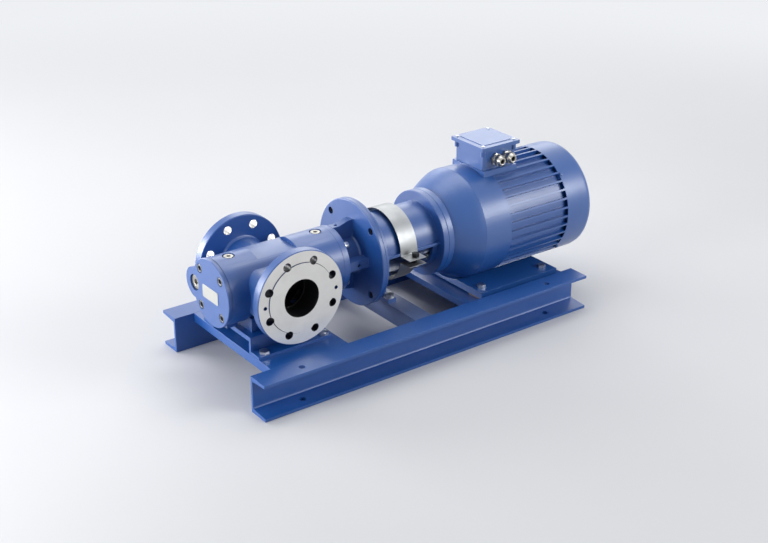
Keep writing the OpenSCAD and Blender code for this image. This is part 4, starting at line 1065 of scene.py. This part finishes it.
# CAD nodes that keep their own mesh, mostly hidden inside, by finish
DRESS: dict[Finish, tuple[str, ...]] = {
    Finishes.bronze_in_painted_shade: ("screw_liner",),
    Finishes.bronze: ("thrust_bridge",),
    Finishes.nitrile: ("barrel_o_rings",),
    Finishes.spring_steel: ("relief_valve_spring", "pump_bearing_clip"),
    Finishes.ground_steel: ("relief_valve_piston", "drive_screw", "idler_screw_front",
                            "idler_screw_rear", "shaft_seal_head", "motor_shaft"),
    Finishes.seal_carbon: ("shaft_seal_seat",),
    Finishes.bearing_steel: ("pump_bearing_outer", "pump_bearing_inner", "front_bearing_outer",
                             "front_bearing_inner", "rear_bearing_outer", "rear_bearing_inner"),
    Finishes.grey_iron: ("pump_coupling_hub", "motor_coupling_hub"),
    Finishes.polyurethane: ("coupling_spider",),
    Finishes.shim_stock: ("motor_foot_shims",),
    Finishes.laminations: ("stator_core", "rotor_core"),
    Finishes.windings: ("stator_windings",),
    Finishes.nylon: ("cooling_fan", "terminal_block"),
}


# Studio


@dataclass
class Studio:
    """Pale floor, soft lamps and the photograph's camera."""

    azimuth: float = -36.55
    elevation: float = 24.84
    roll: float = 0.18
    focal_px: float = 1364.4
    width_px: int = 768
    eye_mm: tuple[float, float, float] = (-1169.5, -2163.3, 1374.5)
    sensor_mm: float = 36.0
    surround: str = "#eef0f4"
    fill: float = 0.22
    floor_m: float = 9.0
    floor_drop_m: float = 0.0004
    fade_m: tuple[float, float] = (0.9, 3.0)

    def stand(self, name: str, data: bpy.types.ID, eye: Sequence[float], back: Sequence[float],
              roll: float = 0.0) -> bpy.types.Object:
        """Adds the camera or a lamp.

        Args:
            name: Its name.
            data: Its camera or lamp data.
            eye: Its place in metres.
            back: The direction that it turns its back to.
            roll: Degrees about that direction.

        Returns:
            The new object.
        """
        obj = bpy.data.objects.new(name, data)
        matrix = np.eye(4)
        matrix[:3, :3], matrix[:3, 3] = axes(back, roll).T, eye
        obj.matrix_world = Matrix(matrix.tolist())
        bpy.context.scene.collection.objects.link(obj)
        return obj

    def camera(self) -> None:
        """Places the camera: its back direction comes from azimuth and elevation, its lens from
        the focal length in pixels over the frame's width."""
        az, el = math.radians(self.azimuth), math.radians(self.elevation)
        back = (math.sin(az) * math.cos(el), -math.cos(az) * math.cos(el), math.sin(el))
        data = bpy.data.cameras.new("photo_camera")
        data.sensor_width = self.sensor_mm
        data.sensor_fit = "HORIZONTAL"
        data.lens = self.focal_px / self.width_px * self.sensor_mm
        data.clip_end = 100.0
        eye = place(np.array(self.eye_mm))[0]
        bpy.context.scene.camera = self.stand("photo_camera", data, eye, back, self.roll)

    def lamp(self, name: str, eye: Sequence[float], aim: Sequence[float],
             size: tuple[float, float], watts: float) -> None:
        """Adds one softbox.

        Args:
            name: Name of the lamp.
            eye: Its place in metres.
            aim: The point it faces, in metres.
            size: Its width and height in metres.
            watts: Its power.
        """
        data = bpy.data.lights.new(name, "AREA")
        data.shape = "RECTANGLE"
        data.size, data.size_y = size
        data.energy = watts
        self.stand(name, data, eye, np.subtract(eye, aim))

    def lamps(self) -> None:
        """Adds five softboxes: overhead, left, back left, front right and back right."""
        self.lamp("overhead", (0.4, 0.6, 2.2), (0.1, 0, 0.2), (2.2, 1.4), 24.0)
        self.lamp("left", (-2.4, 0.2, 0.8), (0, 0, 0.15), (1.3, 1.0), 34.0)
        self.lamp("back_left", (-1.9, 2.5, 0.6), (-0.1, 0, 0.15), (2.0, 0.8), 84.0)
        self.lamp("front_right", (1.75, -2.25, 1.4), (0.1, 0, 0.2), (1.5, 0.9), 46.0)
        self.lamp("back_right", (1.8, 2.4, 1.5), (0.1, 0, 0.2), (2.4, 1.2), 22.0)

    def floor(self) -> None:
        """Adds the pale floor, which fades into the surround well away from the object."""
        finish = Finish("pale_studio_floor", "#dcdde0", "#d7d8dc", 0.7, Texture.SHEET, patch_mm=900,
                        patch=0.3, grain_mm=40, relief_mm=0.05)
        mesh = bpy.data.meshes.new("studio_floor")
        ring = circle(self.floor_m, -self.floor_drop_m, FINE_TURN)
        mesh.from_pydata(ring.tolist(), [], [list(range(len(ring)))])
        floor = bpy.data.objects.new("studio_floor", mesh)
        bpy.context.scene.collection.objects.link(floor)
        mesh.materials.append(finish.material())
        tree = finish.material().node_tree
        output = next(node for node in tree.nodes if node.type == "OUTPUT_MATERIAL")
        lit = output.inputs["Surface"].links[0].from_socket
        coordinates = add_node(tree, "TexCoord").outputs["Object"]
        reach = add_node(tree, "VectorMath", {"operation": "LENGTH"}, {}, {0: coordinates})
        fade = add_node(tree, "MapRange", {"interpolation_type": "SMOOTHSTEP"}, {
            "From Min": self.fade_m[0], "From Max": self.fade_m[1]},
            {"Value": reach.outputs["Value"]})
        part = add_node(tree, "Math", {"operation": "MULTIPLY"}, {}, {
            0: fade.outputs["Result"], 1: self.seen(tree)})
        glow = add_node(tree, "Emission", {}, {
            "Color": linear(self.surround), "Strength": 1.0})
        mixed = add_node(tree, "MixShader", {}, {}, {
            0: part.outputs[0], 1: lit, 2: glow.outputs["Emission"]})
        tree.links.new(mixed.outputs["Shader"], output.inputs["Surface"])

    def seen(self, tree: bpy.types.NodeTree) -> bpy.types.NodeSocket:
        """Gives 1 to what the camera, reflections and glass see, and 0 to light that only fills.

        Args:
            tree: The node tree.

        Returns:
            The socket with that number.
        """
        path = add_node(tree, "LightPath")
        seen = add_node(tree, "Math", {"operation": "MAXIMUM"}, {}, {
            0: path.outputs["Is Camera Ray"], 1: path.outputs["Is Glossy Ray"]})
        seen = add_node(tree, "Math", {"operation": "MAXIMUM"}, {}, {
            0: seen.outputs[0], 1: path.outputs["Is Transmission Ray"]})
        return seen.outputs[0]

    def world(self) -> None:
        """Adds the surround: pale to the camera and to reflections, dim as fill light."""
        world = bpy.data.worlds.new("studio_world")
        bpy.context.scene.world = world
        world.use_nodes = True
        tree = world.node_tree
        tree.nodes.clear()
        strength = add_node(tree, "MapRange", {}, {"To Min": self.fill, "To Max": 1.0},
                            {"Value": self.seen(tree)})
        light = add_node(tree, "Background", {}, {"Color": linear(self.surround)},
                         {"Strength": strength.outputs["Result"]})
        add_node(tree, "OutputWorld", {}, {}, {"Surface": light.outputs["Background"]})

    def build(self) -> None:
        """Sets the colour view and builds the stage."""
        bpy.context.scene.view_settings.view_transform = "Standard"
        self.camera()
        self.floor()
        self.world()
        self.lamps()


def main() -> None:
    """Builds the sub-assemblies in order."""
    logging.basicConfig(level=logging.INFO, format="%(message)s")
    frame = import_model()
    Studio().build()
    soft = Softener(frame["nodes"])
    BaseFrame(soft).build()
    Pump(soft).build()
    Lantern(soft).build()
    Motor(soft).build()
    Fasteners().build()
    for finish, nodes in DRESS.items():
        for node in nodes:
            finish.dress(frame["nodes"][node])


if __name__ == "__main__":
    main()
